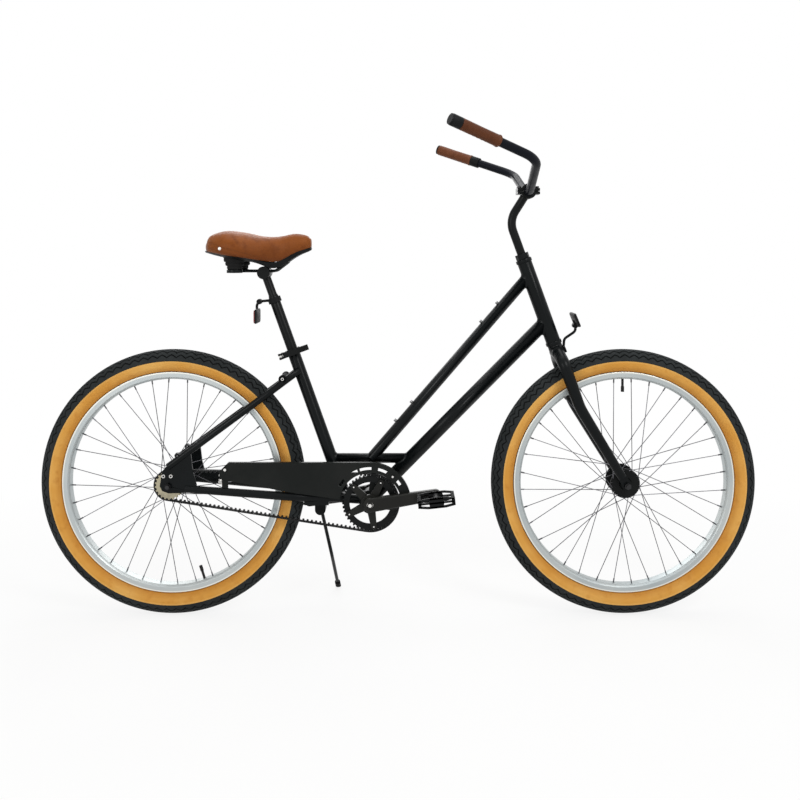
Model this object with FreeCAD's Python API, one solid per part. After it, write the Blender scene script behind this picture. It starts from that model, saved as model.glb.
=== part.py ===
import FreeCAD, Part
import math
import os
from FreeCAD import Vector

# Beach cruiser bicycle with a toothed belt drive and a coaster brake, in millimetres.
# The front faces -Y, the rider's left is +X and up is +Z.
# The origin is on the ground, midway between the axles, in the middle plane.
# Places are given as forward, left and up, which at() turns into the frame.

# General
overrun = 5.0
running_clearance = 0.3
seat_clearance = 0.15

# Wheels
wheel_gap = 482.0
tyre_radius = 344.0
tyre_width = 62.0
tyre_wall = 3.5
tyre_depth = 64.0
bead_half_width = 15.0
bead_thickness = 4.0
bead_clearance = 0.2
rim_flange_rise = 5.5
rim_width = 36.0
rim_bed_drop = 0.4
rim_shoulder_drop = 8.0
rim_inner_drop = 13.0
rim_inner_half_width = 12.0
rim_wall = 1.6
inner_tube_wall = 1.5
valve_diameter = 6.5
valve_cap_diameter = 8.5
valve_cap_length = 14.0
valve_reach = 48.0
front_valve_angle = 90.0
rear_valve_angle = -72.5
spoke_count = 36
spoke_crossings = 3
spoke_sides = 6
spoke_diameter = 2.0
spoke_rim_offset = 3.0
spoke_flange_gap = 0.8
nipple_width = 3.6
nipple_length = 12.0
flange_thickness = 4.0
flange_edge = 3.0

# Hubs and axles
axle_diameter = 10.0
axle_nut_across = 15.0
axle_nut_length = 9.0
hub_end_radius = 13.0
front_fork_spacing = 100.0
front_flange_radius = 38.0
front_flange_offset = 30.0
front_barrel_radius = 17.0
front_hub_half_length = 45.0
front_axle_stub = 12.0
rear_flange_radius = 33.0
rear_flange_offset = 28.0
rear_barrel_radius = 26.0
rear_hub_right = 34.0
rear_hub_left = 44.0
rear_dropout_spacing = 110.0
rear_axle_stub = 14.0

# Belt drive
belt_pitch = 11.0
bracket_tyre_gap = 172.0
ring_teeth = 42
cog_teeth = 22
belt_width = 12.0
belt_line = 45.0
belt_backing = 2.8
belt_land_depth = 1.0
belt_tooth_height = 4.0
belt_tooth_root_share = 0.58
belt_tooth_tip_share = 0.38
mesh_clearance = 0.6
belt_tooth_phase_share = 0.5
bracket_drop = 45.0
ring_thickness = 5.0
ring_inner_radius = 53.0
ring_bolt_radius = 59.5
ring_bolt_diameter = 6.0
cog_flange = 1.5
cog_sleeve_radius = 19.0
ring_rim = 3.0
ring_bolt_head = 8.0
ring_bolt_head_height = 1.5

# Crankset
crank_length = 168.0
crank_angle = 9.0
spindle_diameter = 17.0
spindle_half_length = 70.0
crank_bolt_diameter = 13.0
crank_inner = 64.0
crank_thickness = 15.0
crank_hub_radius = 22.0
crank_root_width = 36.0
crank_tip_width = 27.0
spider_arms = 5
spider_first_angle = -90.0
spider_root_width = 24.0
spider_tip_width = 15.0
spider_plate = 7.0
spider_hub_radius = 24.0
crank_hub_depth = 6.0
crank_bevel = 3.0

# Pedals
pedal_length = 92.0
pedal_width = 66.0
pedal_height = 30.0
pedal_inner = 86.0
pedal_axle_diameter = 14.0
pedal_axle_boss = 20.0
pedal_pin_diameter = 9.0
pedal_wall = 6.0
pedal_rib = 5.0
pedal_tread = 8.0
pedal_flat = 22.0
pedal_wall_web = 4.5
pedal_tilt = 6.0
pedal_end_height_share = 0.75

# Frame
head_angle = 70.0
fork_rake = 45.482
head_tyre_gap = 60.071
head_tube_length = 218.0
head_tube_diameter = 38.0
head_tube_bore = 30.0
cup_diameter = 42.0
cup_height = 9.0
cup_skirt = 12.0
top_tube_diameter = 28.6
top_tube_foot_ahead = 1.456
top_tube_head_drop = 35.1
down_tube_diameter = 35.0
down_tube_head_rise = 54.7
cross_tube_diameter = 25.4
cross_tube_rise = 104.0
frame_tube_wall = 1.8
seat_angle = 70.2
seat_foot_behind = 72.359
seat_foot_rise = 20.175
seat_tube_length = 392.0
seat_tube_diameter = 31.8
shell_diameter = 42.0
shell_bore = 34.0
shell_half_length = 34.0
shell_cup_flange = 2.5
stay_bridge_diameter = 18.0
chainstay_rear_diameter = 19.0
chainstay_front_diameter = 24.0
chainstay_start_ahead = 42.0
chainstay_start_drop = 7.0
chainstay_start_left = 58.0
chainstay_tyre_inset = 21.0
chainstay_tyre_left = 50.0
chainstay_waist_behind = 78.844
chainstay_waist_left = 24.0
chainstay_end_left = 20.0
chainstay_bend = 150.0
seatstay_diameter = 18.0
seatstay_start_behind = 1.0
seatstay_start_rise = 49.0
seatstay_start_left = 58.0
seatstay_tyre_inset = 89.0
seatstay_tyre_left = 46.0
seatstay_end_left = 16.0
seatstay_end_drop = 58.0
seatstay_bend = 45.0
bridge_tyre_inset = 56.0
bridge_rise = 10.0
bridge_diameter = 16.0
bridge_reach_share = 0.87
bridge_screw_diameter = 9.0
bridge_screw_height = 2.5
eyelet_ahead = 22.0
eyelet_rise = 13.0
eyelet_diameter = 12.0
eyelet_bore = 5.0
eyelet_length = 12.0
dropout_thickness = 6.0
dropout_back = 22.0
dropout_top_ahead = 57.0
dropout_neck_ahead = 62.0
dropout_neck_rise = 40.0
dropout_front = 72.0
dropout_low = 18.0
dropout_high = 84.0
dropout_shoulder = 56.0
dropout_bolt_diameter = 9.0
dropout_bolt_height = 3.0
dropout_bolt_rise = 26.0
dropout_bolt_shift = -12.0
dropout_bolt_pitch = 19.0
bottle_screw_first = 115.3
bottle_screw_second = 456.2
bottle_screw_spacing = 64.0
bottle_screw_diameter = 8.0
bottle_screw_height = 6.0
bottle_screw_sunk = 2.0
bolt_socket_share = 0.5

# Coaster brake arm
brake_arm_thickness = 2.2
brake_arm_reach = 115.0
brake_arm_rise = 4.0
brake_arm_root_radius = 16.0
brake_arm_tip_radius = 9.0
strap_thickness = 1.6
strap_width = 14.0
strap_bolt_diameter = 6.0

# Belt guard
guard_outer = 60.0
guard_thickness = 2.0
guard_ring_outer = 105.0
guard_ring_inner = 79.0
guard_window_inner = 86.5
guard_window_outer = 93.5
guard_windows = [(36.5, 9.0), (68.5, 17.0), (97.5, 19.0), (116.0, 10.0), (143.5, 13.0)]
guard_end_angle = 8.0
guard_rear_ahead = 130.0
guard_nose_length = 22.0
guard_rear_rise = 18.0
guard_low_slope_share = 0.19
guard_tab_angle = 82.5
guard_screw_angle = 50.5
guard_lip = 11.0
guard_bracket_width = 16.0
guard_screw_diameter = 10.0
guard_screw_height = 3.0
guard_screw_inset = 14.0
guard_screw_drop = 28.0

# Kickstand
stand_tyre_gap = 1.0
stand_bracket_length = 62.0
stand_bracket_half_width = 46.0
stand_plate_thickness = 6.0
stand_pivot_ahead = 35.0
stand_pivot_left = 46.0
stand_pivot_drop = 37.0
stand_boss_radius = 14.0
stand_boss_length = 26.0
stand_pin_diameter = 9.0
stand_leg_diameter = 9.0
stand_knee_ahead = 27.0
stand_knee_left = 52.0
stand_knee_up = 140.0
stand_foot_ahead = 37.0
stand_foot_left = 190.0
stand_ground_gap = 3.0
stand_foot_length = 26.0
stand_foot_diameter = 15.0
stand_tip_share = 0.33
stand_bend = 55.0

# Steering
steerer_diameter = 25.4
steerer_rise = 24.0
quill_diameter = 22.2
quill_insertion = 70.0
locknut_diameter = 36.0
crown_diameter = 34.0
crown_half_length = 24.0
race_height = 5.0
race_diameter = 37.0
blade_top_diameter = 33.0
blade_tip_diameter = 23.0
blade_start_left = 14.0
blade_left = 54.0
blade_shoulder_drop = 24.0
blade_shoulder_bend = 28.0
blade_bend_rise = 227.071
blade_bend = 160.0
blade_end_gap = 24.0
fork_tip_thickness = 6.0
fork_tip_radius = 13.0
fork_tip_width = 22.0
stem_corner_rise = 116.0
stem_bend = 60.0
bar_clamp_ahead = 8.5
bar_clamp_rise = 185.0
bar_clamp_diameter = 25.4
bar_clamp_half_length = 30.0
stem_clamp_diameter = 40.0
stem_clamp_width = 45.0
stem_clamp_gap = 2.0
stem_ear_reach = 29.0
stem_ear_height = 8.0
stem_bolt_diameter = 5.0
stem_bolt_head = 8.5
stem_bolt_head_height = 5.0
stem_bolt_forward = 23.0
stem_bolt_left = 14.0
bar_diameter = 22.2
bar_wall = 2.2
bar_straight = 45.0
bar_corner_behind = 8.0
bar_corner_left = 235.0
bar_corner_rise = 62.0
bar_end_behind = 217.0
bar_end_left = 335.0
bar_end_rise = 143.0
bar_inner_bend = 60.0
bar_corner_bend = 68.0
grip_length = 108.0
grip_diameter = 27.0
grip_waist_diameter = 26.0
grip_roll = 6.0
grip_collar_length = 25.0
grip_collar_diameter = 29.0
grip_plug_length = 4.0

# Front reflector
reflector_width = 75.0
reflector_height = 37.0
reflector_depth = 6.5
front_reflector_ahead = 46.23
front_reflector_rise = 85.27
front_reflector_lean = 22.0
reflector_arm_diameter = 7.0
reflector_arm_bend = 14.0
reflector_foot_diameter = 16.0
front_arm_low_ahead = 18.23
front_arm_low_rise = 35.27
front_arm_high_ahead = 49.23
front_arm_high_rise = 56.27
reflector_knob_diameter = 14.0
reflector_knob_width = 18.0

# Seat collar and quick release
post_diameter = 27.2
collar_diameter = 39.0
collar_height = 15.0
collar_ear_reach = 38.0
collar_ear_half_width = 13.0
collar_slit = 2.0
skewer_diameter = 5.0
skewer_reach = 30.0
skewer_nut_diameter = 14.0
skewer_nut_length = 9.0
lever_pivot_left = 27.0
lever_length = 74.0
lever_height = 16.0
lever_thickness = 6.0
lever_root_radius = 6.5
lever_pin_diameter = 4.0
lever_gap = 5.6
lever_tip_share = 0.9

# Seat
post_insertion = 120.0
post_wall = 2.0
post_shoulder_drop = 69.0
post_taper = 9.0
post_neck_diameter = 22.2
post_top_rise = 11.0
saddle_clamp_rise = 211.0
saddle_clamp_diameter = 33.0
saddle_clamp_half_width = 29.0
rail_diameter = 7.0
rail_left = 22.0
rail_rise = 4.474
rail_front_ahead = 61.774
rail_front_left = 15.0
rail_front_rise = 24.0
rail_drop_ahead = 29.774
rail_back_behind = 50.226
rail_bend = 16.0
bumper_behind = 70.226
bumper_left = 50.0
bumper_top_diameter = 60.0
bumper_low_diameter = 40.0
bumper_plate = 4.0
saddle_rear_behind = 148.226
saddle_length = 270.0
saddle_width = 210.0
saddle_rise = 27.474
saddle_height = 81.0
saddle_gap = 0.5
saddle_station_shares = [0.0, 0.06, 0.2, 0.36, 0.54, 0.69, 0.84, 0.95, 1.0]
saddle_width_shares = [0.42, 0.72, 0.97, 1.0, 0.77, 0.49, 0.34, 0.27, 0.15]
saddle_top_shares = [0.64, 0.87, 1.0, 0.95, 0.83, 0.82, 0.91, 0.86, 0.69]
saddle_edge_shares = [0.37, 0.33, 0.235, 0.16, 0.06, 0.025, 0.28, 0.42, 0.48]
saddle_base_shares = [0.06, 0.06, 0.07, 0.08, 0.13, 0.19, 0.14, 0.1, 0.08]
saddle_foot_share = 0.88
saddle_bulge_share = 0.38
saddle_shoulder_share = 0.8
saddle_shoulder_height_share = 0.76
base_top_share = 0.86
base_low_share = 0.7

# Rear reflector
rear_reflector_behind = 53.342
rear_reflector_depth = 9.0
rear_reflector_drop = 34.933
rear_lens_depth = 4.0
rear_clamp_rise = 128.0
rear_clamp_height = 14.0
rear_clamp_wall = 3.5
rear_arm_rise = 2.567


def at(forward, left, up):
    """A place in the frame."""
    return Vector(left, -forward, up)


def spot(centre, left, radius, angle):
    """A place round a lateral axis, with the angle taken from straight ahead towards up."""
    turn = math.radians(angle)
    return centre + Vector(left, -radius * math.cos(turn), radius * math.sin(turn))


def rod(start, end, radius):
    along = end - start
    return Part.makeCylinder(radius, along.Length, start, along)


def cone(start, end, first_radius, last_radius):
    along = end - start
    return Part.makeCone(first_radius, last_radius, along.Length, start, along)


def sleeve(start, end, outer, inner):
    """A straight hollow tube."""
    along = end - start
    rings = [Part.Wire(Part.makeCircle(radius, start, along)) for radius in (outer, inner)]
    return Part.makeFace(rings, "Part::FaceMakerBullseye").extrude(along)


def prism(start, end, radius, sides, turn=0.0):
    """A straight bar with a regular section."""
    along = end - start
    steps = [math.radians(turn + 360.0 * step / sides) for step in range(sides)]
    corners = [Vector(radius * math.cos(step), radius * math.sin(step), 0) for step in steps]
    bar = Part.Face(Part.makePolygon(corners + corners[:1])).extrude(Vector(0, 0, along.Length))
    bar.Placement = FreeCAD.Placement(start, FreeCAD.Rotation(Vector(0, 0, 1), along))
    return bar


def path(points, bends, closed=False):
    """Straight runs joined by tangent arcs, one bend radius for each corner."""
    count = len(points)
    corners = list(range(count)) if closed else list(range(1, count - 1))
    if not isinstance(bends, (list, tuple)):
        bends = [bends] * len(corners)
    edges = []
    arcs = []
    for corner, bend in zip(corners, bends):
        here = points[corner]
        back = (points[corner - 1] - here).normalize()
        ahead = (points[(corner + 1) % count] - here).normalize()
        half = back.getAngle(ahead) / 2
        reach = bend / math.tan(half)
        middle = here + (back + ahead).normalize() * (bend / math.sin(half) - bend)
        arcs.append((here + back * reach, middle, here + ahead * reach))
    current = arcs[-1][2] if closed else points[0]
    for first, middle, last in arcs:
        if first.distanceToPoint(current) > seat_clearance:
            edges.append(Part.LineSegment(current, first).toShape())
        else:
            first = current
        edges.append(Part.Arc(first, middle, last).toShape())
        current = last
    if not closed:
        edges.append(Part.LineSegment(current, points[-1]).toShape())
    return Part.Wire(edges)


def pipe(wire, radius):
    """A round bar along a path."""
    first = wire.Edges[0]
    start = first.valueAt(first.FirstParameter)
    along = first.tangentAt(first.FirstParameter)
    ring = Part.Wire(Part.makeCircle(radius, start, along))
    return wire.makePipeShell([ring], True, False)


def hollow_pipe(wire, radius, wall):
    return pipe(wire, radius).cut(pipe(wire, radius - wall))


def lathe(points, centre, axis=Vector(1, 0, 0), up=Vector(0, 0, 1)):
    """A full turn of an outline given as distances along and from the axis."""
    corners = [centre + axis * along + up * out for along, out in points]
    return Part.Face(Part.makePolygon(corners + corners[:1])).revolve(centre, axis, 360)


def plate(points, first_left, last_left, bend=0.0):
    """A flat plate in the side view, from one lateral place to another."""
    corners = [at(forward, first_left, up) for forward, up in points]
    wire = path(corners, bend, closed=True) if bend else Part.makePolygon(corners + corners[:1])
    return Part.Face(wire).extrude(Vector(last_left - first_left, 0, 0))


def disc(centre, radius, first_left, last_left):
    return rod(centre + Vector(first_left, 0, 0), centre + Vector(last_left, 0, 0), radius)


def mirrored(shape):
    return shape.mirror(Vector(0, 0, 0), Vector(1, 0, 0))


def both(shape):
    """A shape and its mirror image across the middle plane."""
    return [shape, mirrored(shape)]


def fused(shapes):
    return shapes[0].fuse(shapes[1:]) if len(shapes) > 1 else shapes[0]


def group(shapes):
    """Separate solids in one node."""
    solids = []
    for shape in shapes:
        solids.extend(shape.Solids)
    return Part.makeCompound(solids)


pieces = {}

# Places that several pieces share
axle_height = tyre_radius
bead_radius = tyre_radius - tyre_depth
rim_radius = bead_radius + rim_flange_rise
rim_bed_radius = bead_radius - rim_bed_drop
rim_shoulder_radius = bead_radius - rim_shoulder_drop
rim_inner_radius = bead_radius - rim_inner_drop
valve_tip_radius = bead_radius - valve_reach
wheelbase = 2 * tyre_radius + wheel_gap
front_axle_forward = wheelbase / 2
rear_axle_forward = -wheelbase / 2
front_centre = at(front_axle_forward, 0, axle_height)
rear_centre = at(rear_axle_forward, 0, axle_height)
ring_radius = ring_teeth * belt_pitch / (2 * math.pi)
cog_radius = cog_teeth * belt_pitch / (2 * math.pi)
bracket_height = axle_height - bracket_drop
belt_teeth = round(2 * (tyre_radius + bracket_tyre_gap) / belt_pitch + (ring_teeth + cog_teeth) / 2)


# Wheels
def tyre(centre):
    """A round section, open towards the rim, with a bead on each side."""
    section = tyre_width / 2
    middle = tyre_radius - section
    inside = section - tyre_wall
    lip = bead_half_width - bead_thickness
    bead_top = middle - math.sqrt(section ** 2 - bead_half_width ** 2)
    lip_top = middle - math.sqrt(inside ** 2 - lip ** 2)

    def here(left, radius):
        return spot(centre, left, radius, 90)
    corners = [(-bead_half_width, bead_top), (-bead_half_width, bead_radius), (-lip, bead_radius),
               (-lip, lip_top)]
    edges = [Part.Arc(here(bead_half_width, bead_top), here(0, tyre_radius), here(*corners[0])).toShape()]
    for first, last in zip(corners, corners[1:]):
        edges.append(Part.LineSegment(here(*first), here(*last)).toShape())
    edges.append(Part.Arc(here(-lip, lip_top), here(0, middle + inside), here(lip, lip_top)).toShape())
    for first, last in zip(corners[::-1], corners[-2::-1]):
        edges.append(Part.LineSegment(here(-first[0], first[1]), here(-last[0], last[1])).toShape())
    return Part.Face(Part.Wire(edges)).revolve(centre, Vector(1, 0, 0), 360)


def inner_tube(centre, valve_angle):
    """The air tube with its valve and cap."""
    middle = tyre_radius - tyre_width / 2
    outer = tyre_width / 2 - tyre_wall - running_clearance
    rings = [Part.Wire(Part.makeCircle(radius, spot(centre, 0, middle, 90), Vector(0, 1, 0)))
             for radius in (outer, outer - inner_tube_wall)]
    ring = Part.makeFace(rings, "Part::FaceMakerBullseye").revolve(centre, Vector(1, 0, 0), 360)
    root = spot(centre, 0, middle - outer + inner_tube_wall / 2, valve_angle)
    tip = spot(centre, 0, valve_tip_radius, valve_angle)
    shoulder = spot(centre, 0, valve_tip_radius + valve_cap_length, valve_angle)
    return fused([ring, rod(root, tip, valve_diameter / 2), rod(shoulder, tip, valve_cap_diameter / 2)])


def rim(centre, valve_angle):
    """A hollow rim with two flanges, bored for the valve."""
    half = rim_width / 2
    gap = bead_half_width + bead_clearance
    right = [(half, rim_radius), (half, rim_shoulder_radius), (rim_inner_half_width, rim_inner_radius)]
    bed = [(-gap, rim_radius), (-gap, rim_bed_radius), (gap, rim_bed_radius), (gap, rim_radius)]
    outside = right + [(-left, radius) for left, radius in right[::-1]] + bed
    cavity = half - 2 * rim_wall
    floor = rim_inner_half_width - rim_wall
    hollow = [(cavity, rim_bed_radius - rim_wall), (cavity, rim_shoulder_radius),
              (floor, rim_inner_radius + rim_wall)]
    hollow += [(-left, radius) for left, radius in hollow[::-1]]
    shell = lathe(outside, centre).cut(lathe(hollow, centre))
    valve_hole = rod(spot(centre, 0, rim_bed_radius + overrun, valve_angle),
                     spot(centre, 0, rim_inner_radius - overrun, valve_angle),
                     valve_diameter / 2 + running_clearance)
    return shell.cut(valve_hole)


def spokes(centre, valve_angle, flange_radius, flange_offset):
    """Spokes laced across each other, each with its elbow in the flange and its nipple in the rim."""
    per_side = spoke_count // 2
    step = 360.0 / per_side
    beside_valve = valve_angle + step / 4
    lacing = step * spoke_crossings
    hole_radius = flange_radius - flange_edge
    solids = []
    for side in (1, -1):
        shift = beside_valve + (step / 2 if side > 0 else 0)
        for index in range(per_side):
            outward = 1 if index % 2 else -1
            stand_off = flange_thickness / 2 + spoke_diameter / 2
            if outward > 0:
                stand_off += spoke_flange_gap
            hub_angle = index * step + shift
            rim_angle = hub_angle - outward * lacing
            start = spot(centre, side * (flange_offset + outward * stand_off), hole_radius, hub_angle)
            elbow_left = side * (flange_offset - outward * (flange_thickness + spoke_diameter) / 2)
            elbow = spot(centre, elbow_left, hole_radius, hub_angle)
            end = spot(centre, side * spoke_rim_offset, rim_inner_radius + rim_wall, rim_angle)
            along = (end - start).normalize()
            bar = prism(start, end, spoke_diameter / 2, spoke_sides)
            nipple = prism(end - along * nipple_length, end, nipple_width / 2, 4)
            solids.append(fused([bar, nipple, prism(start, elbow, spoke_diameter / 2, spoke_sides)]))
    return solids


def hub_shell(centre, right_end, left_end, flange_offset, flange_radius, barrel_radius):
    """A hub with two flanges, bored for the axle."""
    bore = axle_diameter / 2 + running_clearance
    inner = flange_offset - flange_thickness / 2
    outer = flange_offset + flange_thickness / 2
    outline = [(-right_end, bore), (-right_end, hub_end_radius), (-outer, barrel_radius),
               (-outer, flange_radius),
               (-inner, flange_radius), (-inner, barrel_radius), (inner, barrel_radius),
               (inner, flange_radius),
               (outer, flange_radius), (outer, barrel_radius), (left_end, hub_end_radius), (left_end, bore)]
    return lathe(outline, centre)


def wheel(name, centre, valve_angle, flange_radius, flange_offset):
    pieces[name + "_tyre"] = tyre(centre)
    pieces[name + "_inner_tube"] = inner_tube(centre, valve_angle)
    pieces[name + "_rim"] = rim(centre, valve_angle)
    pieces[name + "_spokes"] = group(spokes(centre, valve_angle, flange_radius, flange_offset))


wheel("front", front_centre, front_valve_angle, front_flange_radius, front_flange_offset)
wheel("rear", rear_centre, rear_valve_angle, rear_flange_radius, rear_flange_offset)
pieces["front_hub"] = hub_shell(front_centre, front_hub_half_length, front_hub_half_length,
                                front_flange_offset, front_flange_radius, front_barrel_radius)
pieces["rear_hub"] = hub_shell(rear_centre, rear_hub_right, rear_hub_left,
                               rear_flange_offset, rear_flange_radius, rear_barrel_radius)


# Belt drive
def belt_length(distance):
    """The length of an open belt round the ring and the cog."""
    difference = ring_radius - cog_radius
    straight = math.sqrt(distance ** 2 - difference ** 2)
    wrapped = math.pi * (ring_radius + cog_radius) + 2 * difference * math.asin(difference / distance)
    return 2 * straight + wrapped


def drive_centres():
    """The distance between the ring and the cog that the belt's length gives."""
    low = ring_radius
    high = belt_teeth * belt_pitch
    for _ in range(60):
        middle = (low + high) / 2
        if belt_length(middle) < belt_teeth * belt_pitch:
            low = middle
        else:
            high = middle
    return middle


drive_distance = drive_centres()
drive_drop = bracket_height - axle_height
bracket_forward = rear_axle_forward + math.sqrt(drive_distance ** 2 - drive_drop ** 2)
bracket_centre = at(bracket_forward, 0, bracket_height)
drive_lean = math.asin((ring_radius - cog_radius) / drive_distance)
drive_slope = math.atan2(drive_drop, bracket_forward - rear_axle_forward)
upper_normal = drive_slope + math.pi / 2 + drive_lean
lower_normal = drive_slope - math.pi / 2 - drive_lean
belt_run = math.sqrt(drive_distance ** 2 - (ring_radius - cog_radius) ** 2)
ring_wrap = (math.pi + 2 * drive_lean) * ring_radius
belt_inner_left = -(belt_line - belt_width / 2)
belt_outer_left = -(belt_line + belt_width / 2)


def polar(forward, up, radius, angle):
    return forward + radius * math.cos(angle), up + radius * math.sin(angle)


def belt_place(along, offset):
    """A place in the side view, along the belt from the cog's top and out from its pitch line."""
    cog = (rear_axle_forward, axle_height)
    ring = (bracket_forward, bracket_height)
    if along < belt_run:
        return polar(*polar(*cog, cog_radius + offset, upper_normal), along, upper_normal - math.pi / 2)
    along -= belt_run
    if along < ring_wrap:
        return polar(*ring, ring_radius + offset, upper_normal - along / ring_radius)
    along -= ring_wrap
    if along < belt_run:
        return polar(*polar(*ring, ring_radius + offset, lower_normal), along, lower_normal - math.pi / 2)
    along -= belt_run
    return polar(*cog, cog_radius + offset, lower_normal - along / cog_radius)


def drive_belt():
    """One closed belt with a tooth at every pitch, facing inwards."""
    total = belt_teeth * belt_pitch
    back = belt_backing - belt_land_depth
    root = belt_pitch * belt_tooth_root_share / 2
    tip = belt_pitch * belt_tooth_tip_share / 2
    inside = []
    for tooth in range(belt_teeth):
        middle = (tooth + belt_tooth_phase_share) * belt_pitch
        inside.append(belt_place(middle - root, -belt_land_depth))
        inside.append(belt_place(middle - tip, -belt_land_depth - belt_tooth_height))
        inside.append(belt_place(middle + tip, -belt_land_depth - belt_tooth_height))
        inside.append(belt_place(middle + root, -belt_land_depth))
    corners = [at(forward, belt_inner_left, up) for forward, up in inside]
    stations = [0, belt_run, belt_run + ring_wrap / 2, belt_run + ring_wrap, 2 * belt_run + ring_wrap]
    stations.append((stations[-1] + total) / 2)
    ends = []
    for station in stations:
        forward, up = belt_place(station, back)
        ends.append(at(forward, belt_inner_left, up))
    outside = Part.Wire([Part.LineSegment(ends[0], ends[1]).toShape(),
                         Part.Arc(ends[1], ends[2], ends[3]).toShape(),
                         Part.LineSegment(ends[3], ends[4]).toShape(),
                         Part.Arc(ends[4], ends[5], ends[0]).toShape()])
    rings = [outside, Part.makePolygon(corners + corners[:1])]
    return Part.makeFace(rings, "Part::FaceMakerBullseye").extrude(Vector(-belt_width, 0, 0))


def sprocket(forward, up, radius, teeth, first_valley):
    """A toothed wheel whose valleys take the belt's teeth."""
    land = radius - belt_land_depth - mesh_clearance
    valley = land - belt_tooth_height
    root = (belt_pitch * belt_tooth_root_share / 2 + mesh_clearance) / radius
    tip = (belt_pitch * belt_tooth_tip_share / 2 + mesh_clearance) / radius
    points = []
    for tooth in range(teeth):
        middle = first_valley + 2 * math.pi * tooth / teeth
        points.append(polar(forward, up, land, middle - root))
        points.append(polar(forward, up, valley, middle - tip))
        points.append(polar(forward, up, valley, middle + tip))
        points.append(polar(forward, up, land, middle + root))
    return plate(points, belt_inner_left, belt_outer_left)


first_tooth = belt_tooth_phase_share * belt_pitch
ring_valley = upper_normal + (belt_run - first_tooth) / ring_radius
cog_valley = lower_normal + (2 * belt_run + ring_wrap - first_tooth) / cog_radius
ring_rim_radius = ring_radius - belt_land_depth - belt_tooth_height - ring_rim
pieces["drive_belt"] = drive_belt()


def belt_ring():
    """The front toothed ring with a thin web that bolts to the spider."""
    wheel_shape = sprocket(bracket_forward, bracket_height, ring_radius, ring_teeth, ring_valley)
    recess = disc(bracket_centre, ring_rim_radius, belt_inner_left + overrun,
                  belt_outer_left + ring_thickness)
    bore = disc(bracket_centre, ring_inner_radius, belt_inner_left + overrun, belt_outer_left - overrun)
    holes = [disc(place, ring_bolt_diameter / 2 + seat_clearance, belt_inner_left + overrun,
                  belt_outer_left - overrun) for place in ring_bolt_places()]
    return wheel_shape.cut([recess, bore] + holes)


def spider_angles():
    return [spider_first_angle + crank_angle + 360.0 * arm / spider_arms for arm in range(spider_arms)]


def ring_bolt_places():
    return [spot(bracket_centre, 0, ring_bolt_radius, angle) for angle in spider_angles()]


def rear_cog():
    """The rear cog with a guide flange on each side and a sleeve towards the hub."""
    wheel_shape = sprocket(rear_axle_forward, axle_height, cog_radius, cog_teeth, cog_valley)
    guide = cog_radius - belt_land_depth - belt_tooth_height - mesh_clearance
    sleeve_end = -(rear_hub_right + running_clearance)
    body = fused([wheel_shape,
                  disc(rear_centre, guide, belt_outer_left - cog_flange, belt_outer_left),
                  disc(rear_centre, cog_sleeve_radius, belt_inner_left, sleeve_end)])
    body = body.cut(disc(rear_centre, axle_diameter / 2 + running_clearance, overrun,
                         belt_outer_left - overrun))
    return body


pieces["belt_ring"] = belt_ring()
pieces["rear_cog"] = rear_cog()


# Crankset
def crank_arm(side):
    """A tapered arm, thinner towards the pedal, with bevelled outer edges."""
    inner = side * crank_inner
    outer = side * (crank_inner + crank_thickness)
    eye = bracket_centre + at(crank_length, 0, 0)
    half_root = crank_root_width / 2
    half_tip = crank_tip_width / 2
    arm = plate([(bracket_forward, bracket_height + half_root),
                 (bracket_forward + crank_length, bracket_height + half_tip),
                 (bracket_forward + crank_length, bracket_height - half_tip),
                 (bracket_forward, bracket_height - half_root)], inner, outer)
    body = fused([arm, disc(bracket_centre, half_root, inner, outer), disc(eye, half_tip, inner, outer)])
    body = body.removeSplitter()
    edges = [edge for edge in body.Edges
             if all(abs(vertex.X - outer) < seat_clearance for vertex in edge.Vertexes)]
    return body.makeChamfer(crank_bevel, edges)


def crank(side, extras):
    """An arm with its hub, bored for the spindle and the pedal axle."""
    inner = side * (crank_inner - crank_hub_depth)
    body = fused([crank_arm(side), disc(bracket_centre, crank_hub_radius, inner,
                                        side * crank_inner)] + extras)
    eye = bracket_centre + at(crank_length, 0, 0)
    far = side * (crank_inner + crank_thickness + overrun)
    bores = [disc(bracket_centre, spindle_diameter / 2 + seat_clearance, 0, far),
             disc(eye, pedal_axle_diameter / 2 + seat_clearance, 0, far)]
    return body.cut(bores)


def spider():
    """Five tapered arms that carry the ring."""
    solids = []
    first = belt_outer_left
    last = belt_outer_left - spider_plate
    half_root = spider_root_width / 2
    half_tip = spider_tip_width / 2
    for angle in spider_angles():
        arm = plate([(bracket_forward, bracket_height + half_root),
                     (bracket_forward + ring_bolt_radius, bracket_height + half_tip),
                     (bracket_forward + ring_bolt_radius, bracket_height - half_tip),
                     (bracket_forward, bracket_height - half_root)], first, last)
        tip = disc(bracket_centre + at(ring_bolt_radius, 0, 0), half_tip, first, last)
        solids.append(turned(fused([arm, tip]), angle - crank_angle))
    solids.append(disc(bracket_centre, spider_hub_radius, first, -crank_inner))
    return fused(solids)


def turned(shape, angle, centre=None):
    """A copy turned about a lateral axis, from straight ahead towards up."""
    copy = shape.copy()
    copy.rotate(bracket_centre if centre is None else centre, Vector(1, 0, 0), -angle)
    return copy


def right_crank():
    body = crank(-1, [spider()])
    bolt_holes = [turned(disc(place, ring_bolt_diameter / 2 + seat_clearance, 0, -crank_inner),
                         -crank_angle)
                  for place in ring_bolt_places()]
    return turned(body.cut(bolt_holes), crank_angle)


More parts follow.
